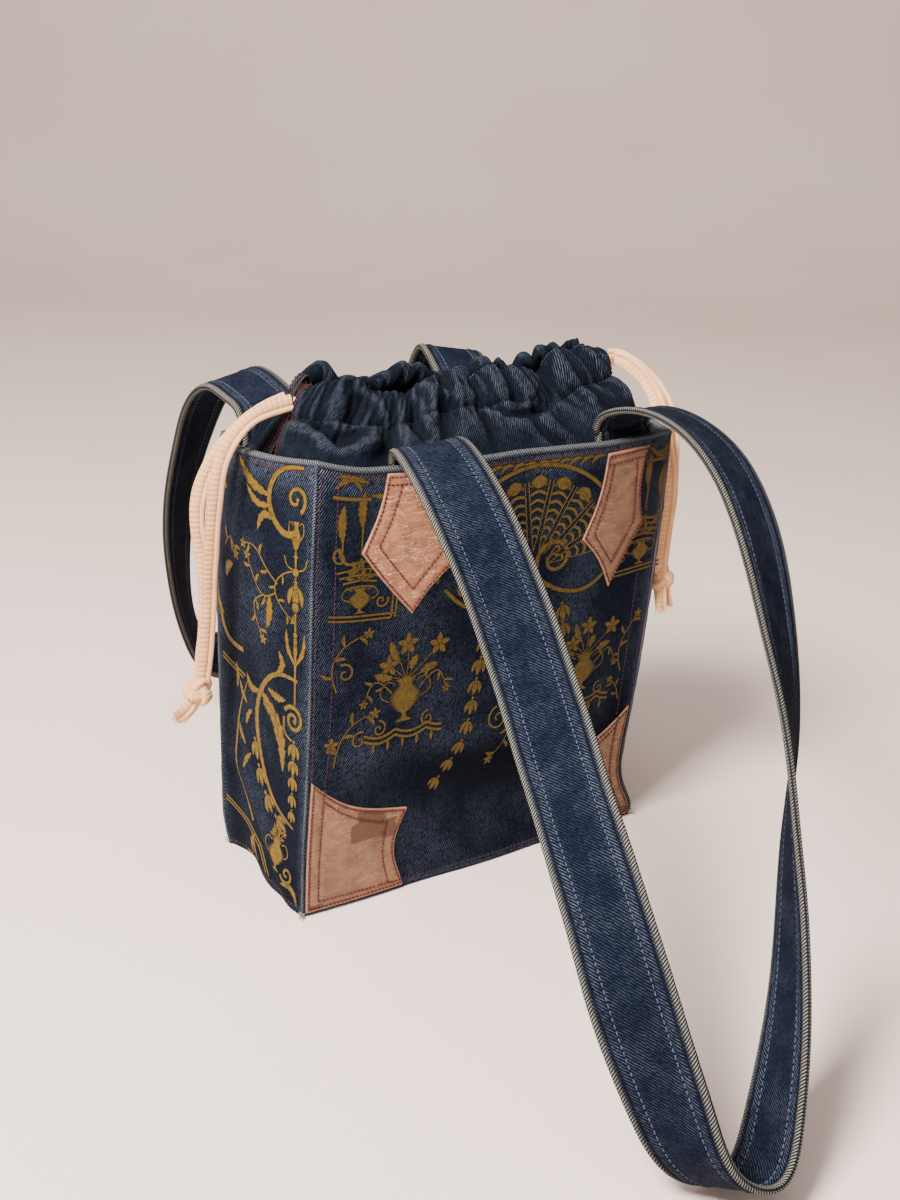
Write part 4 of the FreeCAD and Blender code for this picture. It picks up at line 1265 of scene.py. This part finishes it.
ROUTES = {
    "left_drawcord_tail_a": [
        (-99, -3.2, 293), (-111, -2.8, 291.5), (-123, -1.8, 287.3), (-132.6, -0.2, 277.8), (-138.6, 1, 266),
        (-140.9, 3, 252.9), (-141.5, 6, 238.6), (-141.9, 9, 223.9), (-142.1, 12, 208.4), (-142.1, 15, 192.5),
        (-142.3, 17, 176.8), (-142.8, 18.5, 161), (-143.9, 20.5, 145), (-145.8, 22, 127.5)],
    "left_drawcord_tail_b": [
        (-99, 3.2, 293), (-110, 4.6, 289.5), (-121, 6.5, 283), (-130.1, 10, 272.9), (-137.6, 13.5, 262.9),
        (-143, 17, 250.3), (-145.5, 20, 236.1), (-145.2, 22, 221.5), (-142.9, 22.5, 208), (-141.4, 22.5, 194),
        (-140.9, 23.5, 179), (-141.3, 24.5, 164.6), (-142.2, 26, 148.7), (-145, 27, 127.5)],
    "right_drawcord_tail_a": [
        (118.5, -3.2, 294), (121, -6.5, 294.3), (125.5, -15, 289.5), (129, -24.5, 281.5), (129.3, -33, 273),
        (128.8, -40, 262.5), (129.8, -44, 249), (131.3, -47, 233), (131.3, -48.5, 216), (130.2, -48.2, 199),
        (129.2, -47.6, 183), (130, -47.2, 168)],
    "right_drawcord_tail_b": [
        (118.5, 3.2, 294), (122.5, 1, 295), (129.5, -5, 291), (135, -13.5, 284.8), (137.8, -23, 277),
        (138, -32, 268.5), (137.3, -38.5, 257.5), (136.8, -41.3, 243), (137.2, -42.3, 227), (137.4, -42.3, 210),
        (135.9, -42.3, 194), (133.8, -43, 178), (134, -43, 168)],
}
FRAYS = {
    "left_drawcord_ends": [[(-151, 24, 118), (-156.5, 23, 112), (-163, 22.5, 108.5)],
                           [(-147.5, 28, 116.5), (-151.5, 29.5, 109.5), (-157.5, 30.2, 104)]],
    "right_drawcord_ends": [[(130.5, -48, 157), (129, -51, 151.5), (128.6, -53, 145)],
                            [(135, -45, 157), (135.6, -46.5, 151), (137.2, -47, 144.5)]],
}
KNOTS = {"left_drawcord_knot": (-147.6, 24.6, 121.8), "right_drawcord_knot": (132.5, -45, 163.6)}


def nurbs_line(name, points):
    """Points of the route's smooth NURBS spline, in millimetres."""
    data = bpy.data.curves.new(name, "CURVE")
    data.dimensions = "3D"
    route = data.splines.new("NURBS")
    route.points.add(len(points) - 1)
    for point, place in zip(route.points, points):
        point.co = (*(x * MM for x in place), 1.0)
    route.order_u = 3
    route.use_endpoint_u = True
    route.resolution_u = 12
    ob = bpy.data.objects.new(name + "_route", data)
    me = bpy.data.meshes.new_from_object(ob)
    line = arr([v.co for v in me.vertices]) / MM
    bpy.data.objects.remove(ob)
    bpy.data.meshes.remove(me)
    return line


# The flat cord's section, and how deep each point lies in the sewn groove, which sets the sewn line's brown and
# its painted shade.
BRAID_SECTION = arr([
    (-4.3, 0), (-4.1, 0.75), (-3.4, 1.15), (-2.3, 1.2), (-1.6, 0.85), (-1.25, 0.5), (-0.9, 0.85),
    (0.2, 1.15), (1.8, 1.2), (3.2, 1.15), (3.8, 0.7), (4.3, 0.95), (4.45, 0.4), (4.3, -0.3), (3.6, -1.0),
    (1.8, -1.15), (0.2, -1.1), (-1.2, -0.7), (-2.4, -1.15), (-3.5, -1.1), (-4.1, -0.6),
])
BRAID_GROOVE = arr([0, 0, 0, 0, 0.35, 1, 0.35, 0, 0, 0, 0.5, 0, 0, 0, 0, 0, 0, 1, 0, 0, 0])
RIB_PITCH, FINE_PITCH, SEWN_PITCH = 3.1, 1.3, 1.9  # of its ribs, the narrow side's ribs and the sewn line


def braid_mesh(cloth, line, hint, twist, wide=1.0, fray=False):
    """The flat sewn cord along a line. Its face looks along hint, then turns by twist on the way."""
    line, at = even(line, 0.45)
    tangent = unit(np.gradient(line, axis=0))
    hint = np.broadcast_to(arr(hint), line.shape)
    across = unit(np.cross(tangent, hint))
    normal = unit(np.cross(across, tangent))
    roll = twist * (at / at[-1])
    across, normal = (across * np.cos(roll)[:, None] + normal * np.sin(roll)[:, None],
                      normal * np.cos(roll)[:, None] - across * np.sin(roll)[:, None])
    rib = 0.5 + 0.5 * np.cos(TAU * at / RIB_PITCH)
    fine = 0.5 + 0.5 * np.cos(TAU * at / FINE_PITCH)
    x = BRAID_SECTION[:, 0] * wide * (1 + 0.03 * np.sin(at / 5.3))[:, None]
    band = np.where(BRAID_SECTION[:, 0] > -1.0, 1.0, 0.0)
    ribbed, lined = 0.26 * (rib[:, None] - 0.5) * band, 0.16 * (fine[:, None] - 0.5) * (1 - band)
    y = BRAID_SECTION[:, 1] * (1 + ribbed + lined)
    if fray:
        open_up = clip01((at / at[-1] - 0.5) / 0.5)[:, None]
        x = x * (1 + 0.10 * open_up)
        y = y * (1 - 0.25 * open_up)
    # groove holds the sewn line's brown and painted shade in the groove and the troughs between the ribs
    groove = clip01(BRAID_GROOVE * (0.55 + 0.45 * np.cos(TAU * at / SEWN_PITCH))[:, None]
                     + 0.42 * band * (1 - rib)[:, None] ** 4)
    cloth.grid(sweep(line, across, normal, x, y), cloth_uv(lengths(closed(BRAID_SECTION)), at), wrap_cols=True,
               caps=True, groove=groove)
    if fray:  # loose yarns at the cut end
        end, d = line[-1], tangent[-1]
        for k in range(16):
            q = TAU * k * 0.382
            start = end + across[-1] * (-3.8 + 7.6 * k / 15) * wide + normal[-1] * 0.7 * math.sin(q) - d * 0.8
            spread = across[-1] * 0.9 * math.cos(2.3 * q) + normal[-1] * 0.8 * math.sin(q)
            tip = start + d * (2.6 + 0.9 * math.sin(3 * q)) + spread
            hair(cloth, [start, start + d * 1.6 + spread * 0.4, tip], 0.22)


def hair(cloth, points, radius):
    """One loose yarn."""
    line = smooth(points, 0.6)
    tangent = unit(np.gradient(line, axis=0))
    a = unit(np.cross(tangent, arr([0.3, 0.2, 0.93])))
    b = np.cross(tangent, a)
    turn = np.arange(5) * TAU / 5
    r = radius * np.linspace(1, 0.6, len(line))[:, None]
    cloth.grid(sweep(line, a, b, r * np.cos(turn), r * np.sin(turn)), wrap_cols=True, caps=True,
               groove=0.15, wear=0.6, edge=0.3)


def knot_mesh(centre, axis, seed):
    """An overhand knot in the doubled cord: a crossed, flattened band round a full core."""
    cloth = Cloth()
    axis = unit(arr(axis))
    side = unit(np.cross(axis, arr([0.45, 0.85, 0.1])))
    front = np.cross(side, axis)
    steps, ribs, dots = 360, 44, 66  # round the band
    around = np.arange(steps) / steps
    t = TAU * around
    q = np.stack([np.sin(t) + 2 * np.sin(2 * t), np.cos(t) - 2 * np.cos(2 * t), -1.2 * np.sin(3 * t)], 1)
    q = q * arr([2.15, 2.55, 2.1]) + arr([0.3, 0.5, 0]) * np.sin(2 * t + seed)[:, None]
    line = arr(centre) + q[:, :1] * side + q[:, 1:2] * axis + q[:, 2:] * front
    tangent = unit(np.roll(line, -1, 0) - np.roll(line, 1, 0))
    radial = unit(line - arr(centre))
    across = unit(np.cross(tangent, radial))
    n = unit(np.cross(across, tangent))
    turn = np.arange(20) * TAU / 20
    rib = 1.0 + 0.07 * np.cos(TAU * around * ribs)
    x = 4.2 * np.sign(np.cos(turn)) * np.abs(np.cos(turn)) ** 0.75
    y = 2.3 * np.sign(np.sin(turn)) * np.abs(np.sin(turn)) ** 0.75
    sewn = bump(x, -1.3, 0.5) * (y > 0)
    y = y - 0.5 * sewn
    ring = sweep(line, across, n, x[None], y * rib[:, None])
    uv = cloth_uv(np.linspace(0, 21, 21), np.linspace(0, 130, steps + 1))
    sewn = sewn * (0.5 + 0.5 * np.cos(TAU * around * dots))[:, None]
    # groove paints shade into the troughs of the band, besides the sewn line
    cloth.grid(ring, uv, wrap_rows=True, wrap_cols=True, groove=sewn + 0.25 * (rib[:, None] < 1.0))
    v, w = np.meshgrid(np.linspace(0.02, math.pi - 0.02, 24), np.arange(32) * TAU / 32, indexing="ij")
    r = 6.6 * (1 + 0.06 * np.sin(3 * w + seed) * np.sin(v) + 0.05 * np.sin(5 * v + 2 * w))
    x, y, z = (c[..., None] for c in (r * np.cos(v), r * np.sin(v) * np.cos(w), r * np.sin(v) * np.sin(w)))
    core = arr(centre) + x * axis * 1.15 + y * side + z * front * 0.8
    # the core inside the knot is darkened with painted shade
    cloth.grid(core, cloth_uv(np.linspace(0, 36, 33), np.linspace(0, 20, 24)), wrap_cols=True, caps=True,
               groove=0.3)
    return cloth


HINTS = {"left": (-0.42, -0.88, 0.2), "right": (-0.5, -0.86, 0.12)}
for hand in ("left", "right"):
    body, knot_name, ends_name = hand + "_drawcord", hand + "_drawcord_knot", hand + "_drawcord_ends"
    down = (-0.45, 0.0, -0.9) if hand == "left" else (0.02, -0.25, -0.97)
    knot_ob = knot_mesh(KNOTS[knot_name], down, 0.4 if hand == "left" else 2.0).make(
        knot_name + "_tied", BRAID, "braided_cord", replaces=[knot_name])
    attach(knot_ob, body)
    ends = Cloth()
    for k, route in enumerate(FRAYS[ends_name]):
        start = arr(KNOTS[knot_name]) * 0.35 + arr(route[0]) * 0.65
        braid_mesh(ends, smooth([start] + route, 0.5), HINTS[hand], 0.5 - 0.9 * k, wide=0.92, fray=True)
    ends_ob = ends.make(ends_name + "_frayed", BRAID, "braided_cord", replaces=[ends_name])
    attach(ends_ob, body)
    for k, letter in enumerate("ab"):
        key = hand + "_drawcord_tail_" + letter
        line = nurbs_line(key, ROUTES[key])
        tail = Cloth()
        braid_mesh(tail, line, HINTS[hand], (0.25, -0.3)[k])
        ob = tail.make(key + "_braid", BRAID, "braided_cord", replaces=[key])
        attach(ob, body)

# The stretches inside the casing follow its middle, two cords side by side.
for half_name in ("front", "back"):
    for k, hand in enumerate(("left", "right")):
        u = np.linspace(0.0, 1.0, 260)
        core, inner, above = (collar_surface(half_name, u, arr([place]))[0][0]
                              for place in ((0.80, 0.001), (0.80, 1.0), (0.86, 0.001)))
        rise = unit(above - core)
        core = core + unit(inner - core) * (0.8 if k == 0 else -0.8)
        tip = arr(ROUTES[hand + "_drawcord_tail_" + ("a" if half_name == "front" else "b")][:1])
        if hand == "left":
            core, rise = np.vstack([tip + arr([1.0, 0, 0]), core[4:-6]]), rise[3:-6]
        else:
            core, rise = np.vstack([core[6:-4], tip - arr([1.0, 0, 0])]), rise[6:-3]
        tangent = unit(np.gradient(core, axis=0))
        at = np.linspace(0, HALF_LENGTH, len(core))
        across = unit(rise - tangent * (rise * tangent).sum(1, keepdims=True))
        normal = np.cross(tangent, across)
        x, y = BRAID_SECTION[:, :1].T * 0.62, BRAID_SECTION[:, 1:].T * 0.4  # squeezed by the casing
        cloth = Cloth()
        cloth.grid(sweep(core, across, normal, x, y), cloth_uv(np.linspace(0, 20, len(BRAID_SECTION) + 1), at),
                   wrap_cols=True, caps=True, groove=BRAID_GROOVE)
        node = hand + "_drawcord_" + half_name + "_run"
        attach(cloth.make(node + "_braid", BRAID, "braided_cord", replaces=[node]), "collar_" + half_name)


# ================================================================ shoulder straps

# Stations along each strap: a point of its middle line, then the direction of its width there.
FRONT_STRAP = [
    (-47, -53, 270, 1, 0, 0), (-47.4, -55.5, 274.5, 1, -0.03, 0.02), (-49.5, -64, 278, 0.99, -0.08, 0.08),
    (-53, -84, 275, 0.96, -0.16, 0.2), (-56, -118, 256, 0.91, -0.26, 0.32),
    (-55, -150, 222, 0.79, -0.44, 0.42), (-60, -190, 184, 0.73, -0.51, 0.45),
    (-72, -236, 152, 0.71, -0.53, 0.46), (-80, -274, 121, 0.74, -0.5, 0.43),
    (-83, -304, 86, 0.7, -0.56, 0.42), (-80, -328, 50, 0.5, -0.72, 0.46),
    (-68, -343, 21, 0.25, -0.84, 0.48), (-45, -346, 12, 0.1, -0.87, 0.49), (-24, -335, 29, 0, -0.86, 0.51),
    (-6, -319, 56, -0.12, -0.8, 0.58), (14, -296, 92, -0.28, -0.73, 0.62),
    (33, -270, 130, -0.47, -0.62, 0.63), (50, -247, 165, -0.68, -0.44, 0.59),
    (66, -214, 207, -0.85, -0.2, 0.48), (80, -176, 248, -0.92, -0.08, 0.38),
    (88, -136, 275, -0.95, -0.03, 0.3), (90, -100, 284, -0.97, -0.03, 0.22),
    (88, -66, 281, -0.99, -0.02, 0.08), (87.2, -56, 275.5, -1, 0, 0.02), (87, -53, 270, -1, 0, 0),
]
BACK_STRAP = [
    (-87, 48, 270, -1, 0, 0), (-87.2, 51, 275.5, -1, 0, -0.02), (-88, 64, 281, -0.99, -0.02, -0.08),
    (-90, 92, 284, -0.97, -0.1, -0.15), (-93, 122, 266, -0.93, -0.25, -0.18),
    (-96, 142, 234, -0.87, -0.43, -0.18), (-98, 158, 200, -0.8, -0.52, -0.25),
    (-96, 174, 162, -0.72, -0.62, -0.3), (-90, 190, 124, -0.6, -0.7, -0.38),
    (-79, 208, 86, -0.45, -0.78, -0.45), (-62, 230, 52, -0.3, -0.83, -0.47),
    (-38, 256, 28, -0.15, -0.86, -0.48), (-6, 280, 15, 0, -0.87, -0.49), (36, 293, 15, 0.05, -0.87, -0.49),
    (76, 288, 34, 0.2, -0.83, -0.5), (98, 268, 70, 0.4, -0.76, -0.5), (102, 236, 112, 0.58, -0.66, -0.5),
    (96, 200, 154, 0.7, -0.56, -0.45), (82, 162, 198, 0.8, -0.45, -0.4), (68, 124, 244, 0.9, -0.3, -0.32),
    (57, 100, 274, 0.96, -0.14, -0.28), (52, 81, 288.5, 0.97, -0.05, -0.2),
    (48.5, 67, 287.5, 0.99, 0, -0.08), (47, 55, 281, 1, 0, -0.03), (46.8, 49.7, 275.5, 1, 0, 0),
    (47, 48, 270, 1, 0, 0),
]
# Half of the strap's section: distance from its middle, height of the face, how rubbed, folded and dark, the
# dark being painted shade in its sewn grooves.
HALF_SECTION = [
    (0.0, 1.15, 0.05, 0.0, 0.0), (5.0, 1.15, 0.05, 0.0, 0.0), (9.0, 1.30, 0.12, 0.0, 0.0),
    (10.2, 1.35, 0.45, 0.0, 0.1), (10.9, 0.90, 0.0, 0.0, 0.85), (11.6, 1.45, 0.70, 0.0, 0.1),
    (13.2, 1.85, 0.95, 0.0, 0.0), (14.8, 1.70, 0.70, 0.0, 0.0), (15.6, 1.10, 0.0, 0.0, 0.85),
    (16.4, 1.55, 0.30, 0.0, 0.3), (17.4, 1.90, 0.50, 0.35, 0.1), (18.4, 1.95, 0.60, 0.95, 0.0),
    (19.4, 1.65, 0.60, 1.0, 0.0), (20.1, 1.10, 0.60, 1.0, 0.0), (20.2, 0.45, 0.30, 0.5, 0.2),
]

ROW_AT, PAD_AT = 10.9, 13.2  # a topstitched row and the padded seam beside it, from the strap's middle


def strap_section():
    """The whole section, round from the middle of the face: across, out, wear, edge, grime."""
    right = arr(HALF_SECTION)
    left, turned = right[1:] * arr([-1, 1, 1, 1, 1]), arr([1, -1, 1, 1, 1])
    # painted shade in the crack between the two plies at the strap's edge
    between = arr([[19.3, 0.0, 0.0, 0.0, 0.7]])
    return np.concatenate([right, between, right[::-1] * turned, left * turned, between * arr([-1, 1, 1, 1, 1]),
                           left[::-1]])


def strap_line(stations):
    """The strap's middle line and width directions, closely sampled."""
    rows = arr(stations)
    rows = spline(chord(rows[:, :3]), rows, np.linspace(0, 1, 2400))
    d = lengths(rows[:, :3])
    even_at = np.linspace(0, d[-1], int(d[-1] / 2.2))
    line, spread = np.hsplit(pick(rows, d, even_at), 2)
    tangent = unit(np.gradient(line, axis=0))
    spread = unit(spread - tangent * (spread * tangent).sum(1, keepdims=True))
    return line, spread, np.cross(tangent, spread), even_at


def strap_body(cloth, line, spread, normal, at):
    """The strap's padded seams, rubbed edges and hollow middle, swept along its line."""
    across, out, wear, edge, grime = strap_section().T
    pucker = 0.2 * np.sin(at / 1.9)[:, None] * bump(np.abs(across), PAD_AT, 1.6)
    sway = 0.35 * np.sin(at / 23.0) + 0.2 * np.sin(at / 9.7)
    x = across + np.sign(across) * (np.abs(across) > 9) * sway[:, None] * 0.6
    y = out + np.sign(out) * pucker + 0.35 * np.sin(at / 31.0)[:, None] * np.cos(across / 8.0)
    rub = 0.75 + 0.25 * np.sin(at / 37.0 + 1.0)
    uv = cloth_uv(lengths(closed(np.column_stack([across, out]))), at)
    cloth.grid(sweep(line, spread, normal, x, y), uv, wrap_cols=True, caps=True, edge=edge, grime=grime,
               wear=clip01(wear * rub[:, None]))


def strap_rows(rows, line, spread, normal):
    """The two rows of topstitching on each side of the strap."""
    for x in (-ROW_AT, ROW_AT):
        for k in (-1, 1):
            rows.run(line + spread * x + normal * k * 0.95, normal * k, pitch=3.1, radius=0.32, lift=0.12)


END_LOW, END_HIGH = 236.5, 267.5  # heights between which a strap's end is sewn inside the rim
TUCK = 3.4  # how far a strap's free loop reaches down behind the rim


def strap(side, stations, y):
    """One strap: its free loop, which bends where it leaves the rim, and its two sewn ends."""
    line, spread, normal, at = strap_line(stations)
    cloth, rows = Cloth(), Rows()
    lead = arr([0, 0, -TUCK])
    wider, outer = (np.pad(v, ((1, 1), (0, 0)), "edge") for v in (spread, normal))
    strap_body(cloth, np.vstack([line[:1] + lead, line, line[-1:] + lead]), wider, outer,
               np.concatenate([[-TUCK], at, [at[-1] + TUCK]]))
    strap_rows(rows, line[3:-3], spread[3:-3], normal[3:-3])
    ob = cloth.make(side + "_strap_cloth", DENIM_STRAP, "strap_denim",
                    replaces=[side + "_strap_face", side + "_strap_backing"])
    sewing = rows.cloth.make(side + "_strap_topstitch", THREAD_BLUE, "strap_denim")
    for piece in (ob, sewing):
        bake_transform(piece)
    wall, z = WALLS[side], np.linspace(END_LOW, END_HIGH, 16)
    for hand, x in zip(("left", "right"), sorted((stations[0][0], stations[-1][0]))):
        p, _ = wall.frame(np.full_like(z, x if side == "front" else -x), np.minimum(z, 262.0), -4.6)
        p[:, 2] = z
        blend = clip01((z - 258) / 9)  # from the wall's inside to the strap's own place at the rim
        p[:, 1] = p[:, 1] * (1 - blend) + (y / MM) * blend
        end = Cloth()
        strap_body(end, p, np.broadcast_to(arr([1.0, 0, 0]), p.shape), np.broadcast_to(wall.out, p.shape), z)
        name = side + "_strap_end_" + hand
        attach(end.make(name + "_cloth", DENIM_STRAP, "strap_denim", replaces=[name]), "bag")
        for path in ([(-17, 240), (17, 240)], [(-17, 255), (17, 255)], [(-17, 240), (17, 255)],
                     [(17, 240), (-17, 255)], [(-17, 240), (-17, 255)], [(17, 240), (17, 255)]):
            q = smooth(path, 2.0)
            base = pick(p, z, q[:, 1]) + arr([1.0, 0, 0]) * q[:, :1] - wall.out * 1.6
            pale.run(base, np.broadcast_to(-wall.out, base.shape), pitch=2.8, radius=0.32, lift=0.1)


strap("front", FRONT_STRAP, -0.053)
strap("back", BACK_STRAP, 0.048)

# Threads that have worked loose at the bag's lower corners.
loose = Cloth()
for corner, out_x in (((-119, -47.8), -1), ((119, -47.8), 1), ((121, 47.4), 1), ((-121, 47.4), -1)):
    out_y = math.copysign(1.0, corner[1])
    for k in range(14):
        q = 1.7 * k
        start = arr([corner[0] + 1.2 * math.cos(q), corner[1] + 1.2 * math.sin(q), 0.8 + 0.45 * (k % 7)])
        go = arr([out_x * (0.5 + 0.5 * abs(math.sin(q))), out_y * (0.4 + 0.6 * abs(math.cos(1.3 * q))), 0.0])
        reach = 1.6 + 1.6 * abs(math.sin(2.2 * q))
        low = max(0.25, start[2] - 0.6)
        hair(loose, [start, start + go * reach * 0.6 + arr([0, 0, 0.4]),
                     arr([*(start + go * reach)[:2], low])], 0.2)
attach(loose.make("loose_threads", THREAD_PALE, "body_denim"), "bag")

for rows, name, mat, slot_name in ((red, "red_stitching", THREAD_RED, "leather"),
                                   (wine, "wine_stitching", THREAD_WINE, "body_denim"),
                                   (pale, "strap_end_stitching", THREAD_PALE, "strap_denim")):
    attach(rows.cloth.make(name, mat, slot_name), "bag")


# ================================================================ floor, light and camera


FLOOR_Z = -0.0004
CAMERA = (
    (0.84896547, 0.18239062, -0.49597509, -0.4517),
    (-0.52786643, 0.33672494, -0.77972646, -0.7207),
    (0.02479239, 0.92376944, 0.38214573, 0.5098),
    (0.0, 0.0, 0.0, 1.0),
)


def stage_floor():
    """A pale floor that turns up into a backdrop away from the camera. Its lengths are metres."""
    n = Nodes("studio_floor", roughness=0.7, specular=0.3)
    soft = n.noise(n.object((1, 1, 1)), 3.0, 3.0, 0.5)
    base = n.mix(n.range(soft, 0.3, 0.7), "e8d7d0", "e2d0c8")
    mat = n.finish(base, n.noise(n.object(), 0.4, 2.0), 0.03)
    turn = np.linspace(0, math.pi / 2, 20)[1:]
    back, radius = 1.6, 0.8
    away = np.concatenate([[-4.0, 0.0, back], back + radius * np.sin(turn), [back + radius]])[:, None]
    height = np.concatenate([[FLOOR_Z] * 3, radius * (1 - np.cos(turn)), [4.5]])[:, None]
    x = np.linspace(-5, 5, 12)
    yaw = math.atan2(CAMERA[0][2], -CAMERA[1][2])
    c, s = math.cos(yaw), math.sin(yaw)
    floor = Cloth()
    floor.grid(np.dstack([x * c - away * s, x * s + away * c, height + 0 * x]) / MM)
    floor.make("studio_floor", mat, None)


def area_light(name, place, aim, size, power, tint):
    """A soft square light."""
    data = bpy.data.lights.new(name, "AREA")
    data.shape, data.size, data.energy, data.color = "SQUARE", size, power, tint
    ob = bpy.data.objects.new(name, data)
    bpy.context.scene.collection.objects.link(ob)
    ob.location = place
    ob.rotation_euler = (Vector(aim) - Vector(place)).to_track_quat("-Z", "Y").to_euler()


def studio():
    """Soft light from above and from the left of the camera, and the camera itself."""
    stage_floor()
    area_light("key_light", (-0.88, -0.34, 1.35), (0, -0.05, 0.1), 0.5, 88, (1.0, 0.92, 0.84))
    area_light("top_light", (-0.2, -0.3, 2.4), (0, 0, 0), 1.8, 25, (1.0, 0.96, 0.92))
    area_light("fill_light", (-1.0, -2.0, 1.2), (0, 0, 0.15), 1.2, 9, (1.0, 0.98, 0.96))
    world = bpy.data.worlds.new("studio")
    bpy.context.scene.world = world
    world.use_nodes = True
    world.node_tree.nodes["Background"].inputs["Color"].default_value = (0.86, 0.80, 0.73, 1)
    world.node_tree.nodes["Background"].inputs["Strength"].default_value = 0.36
    data = bpy.data.cameras.new("camera")
    data.lens, data.sensor_width, data.clip_end = 45.84, 36.0, 50.0
    camera = bpy.data.objects.new("camera", data)
    bpy.context.scene.collection.objects.link(camera)
    camera.matrix_world = Matrix(CAMERA)
    bpy.context.scene.camera = camera


studio()
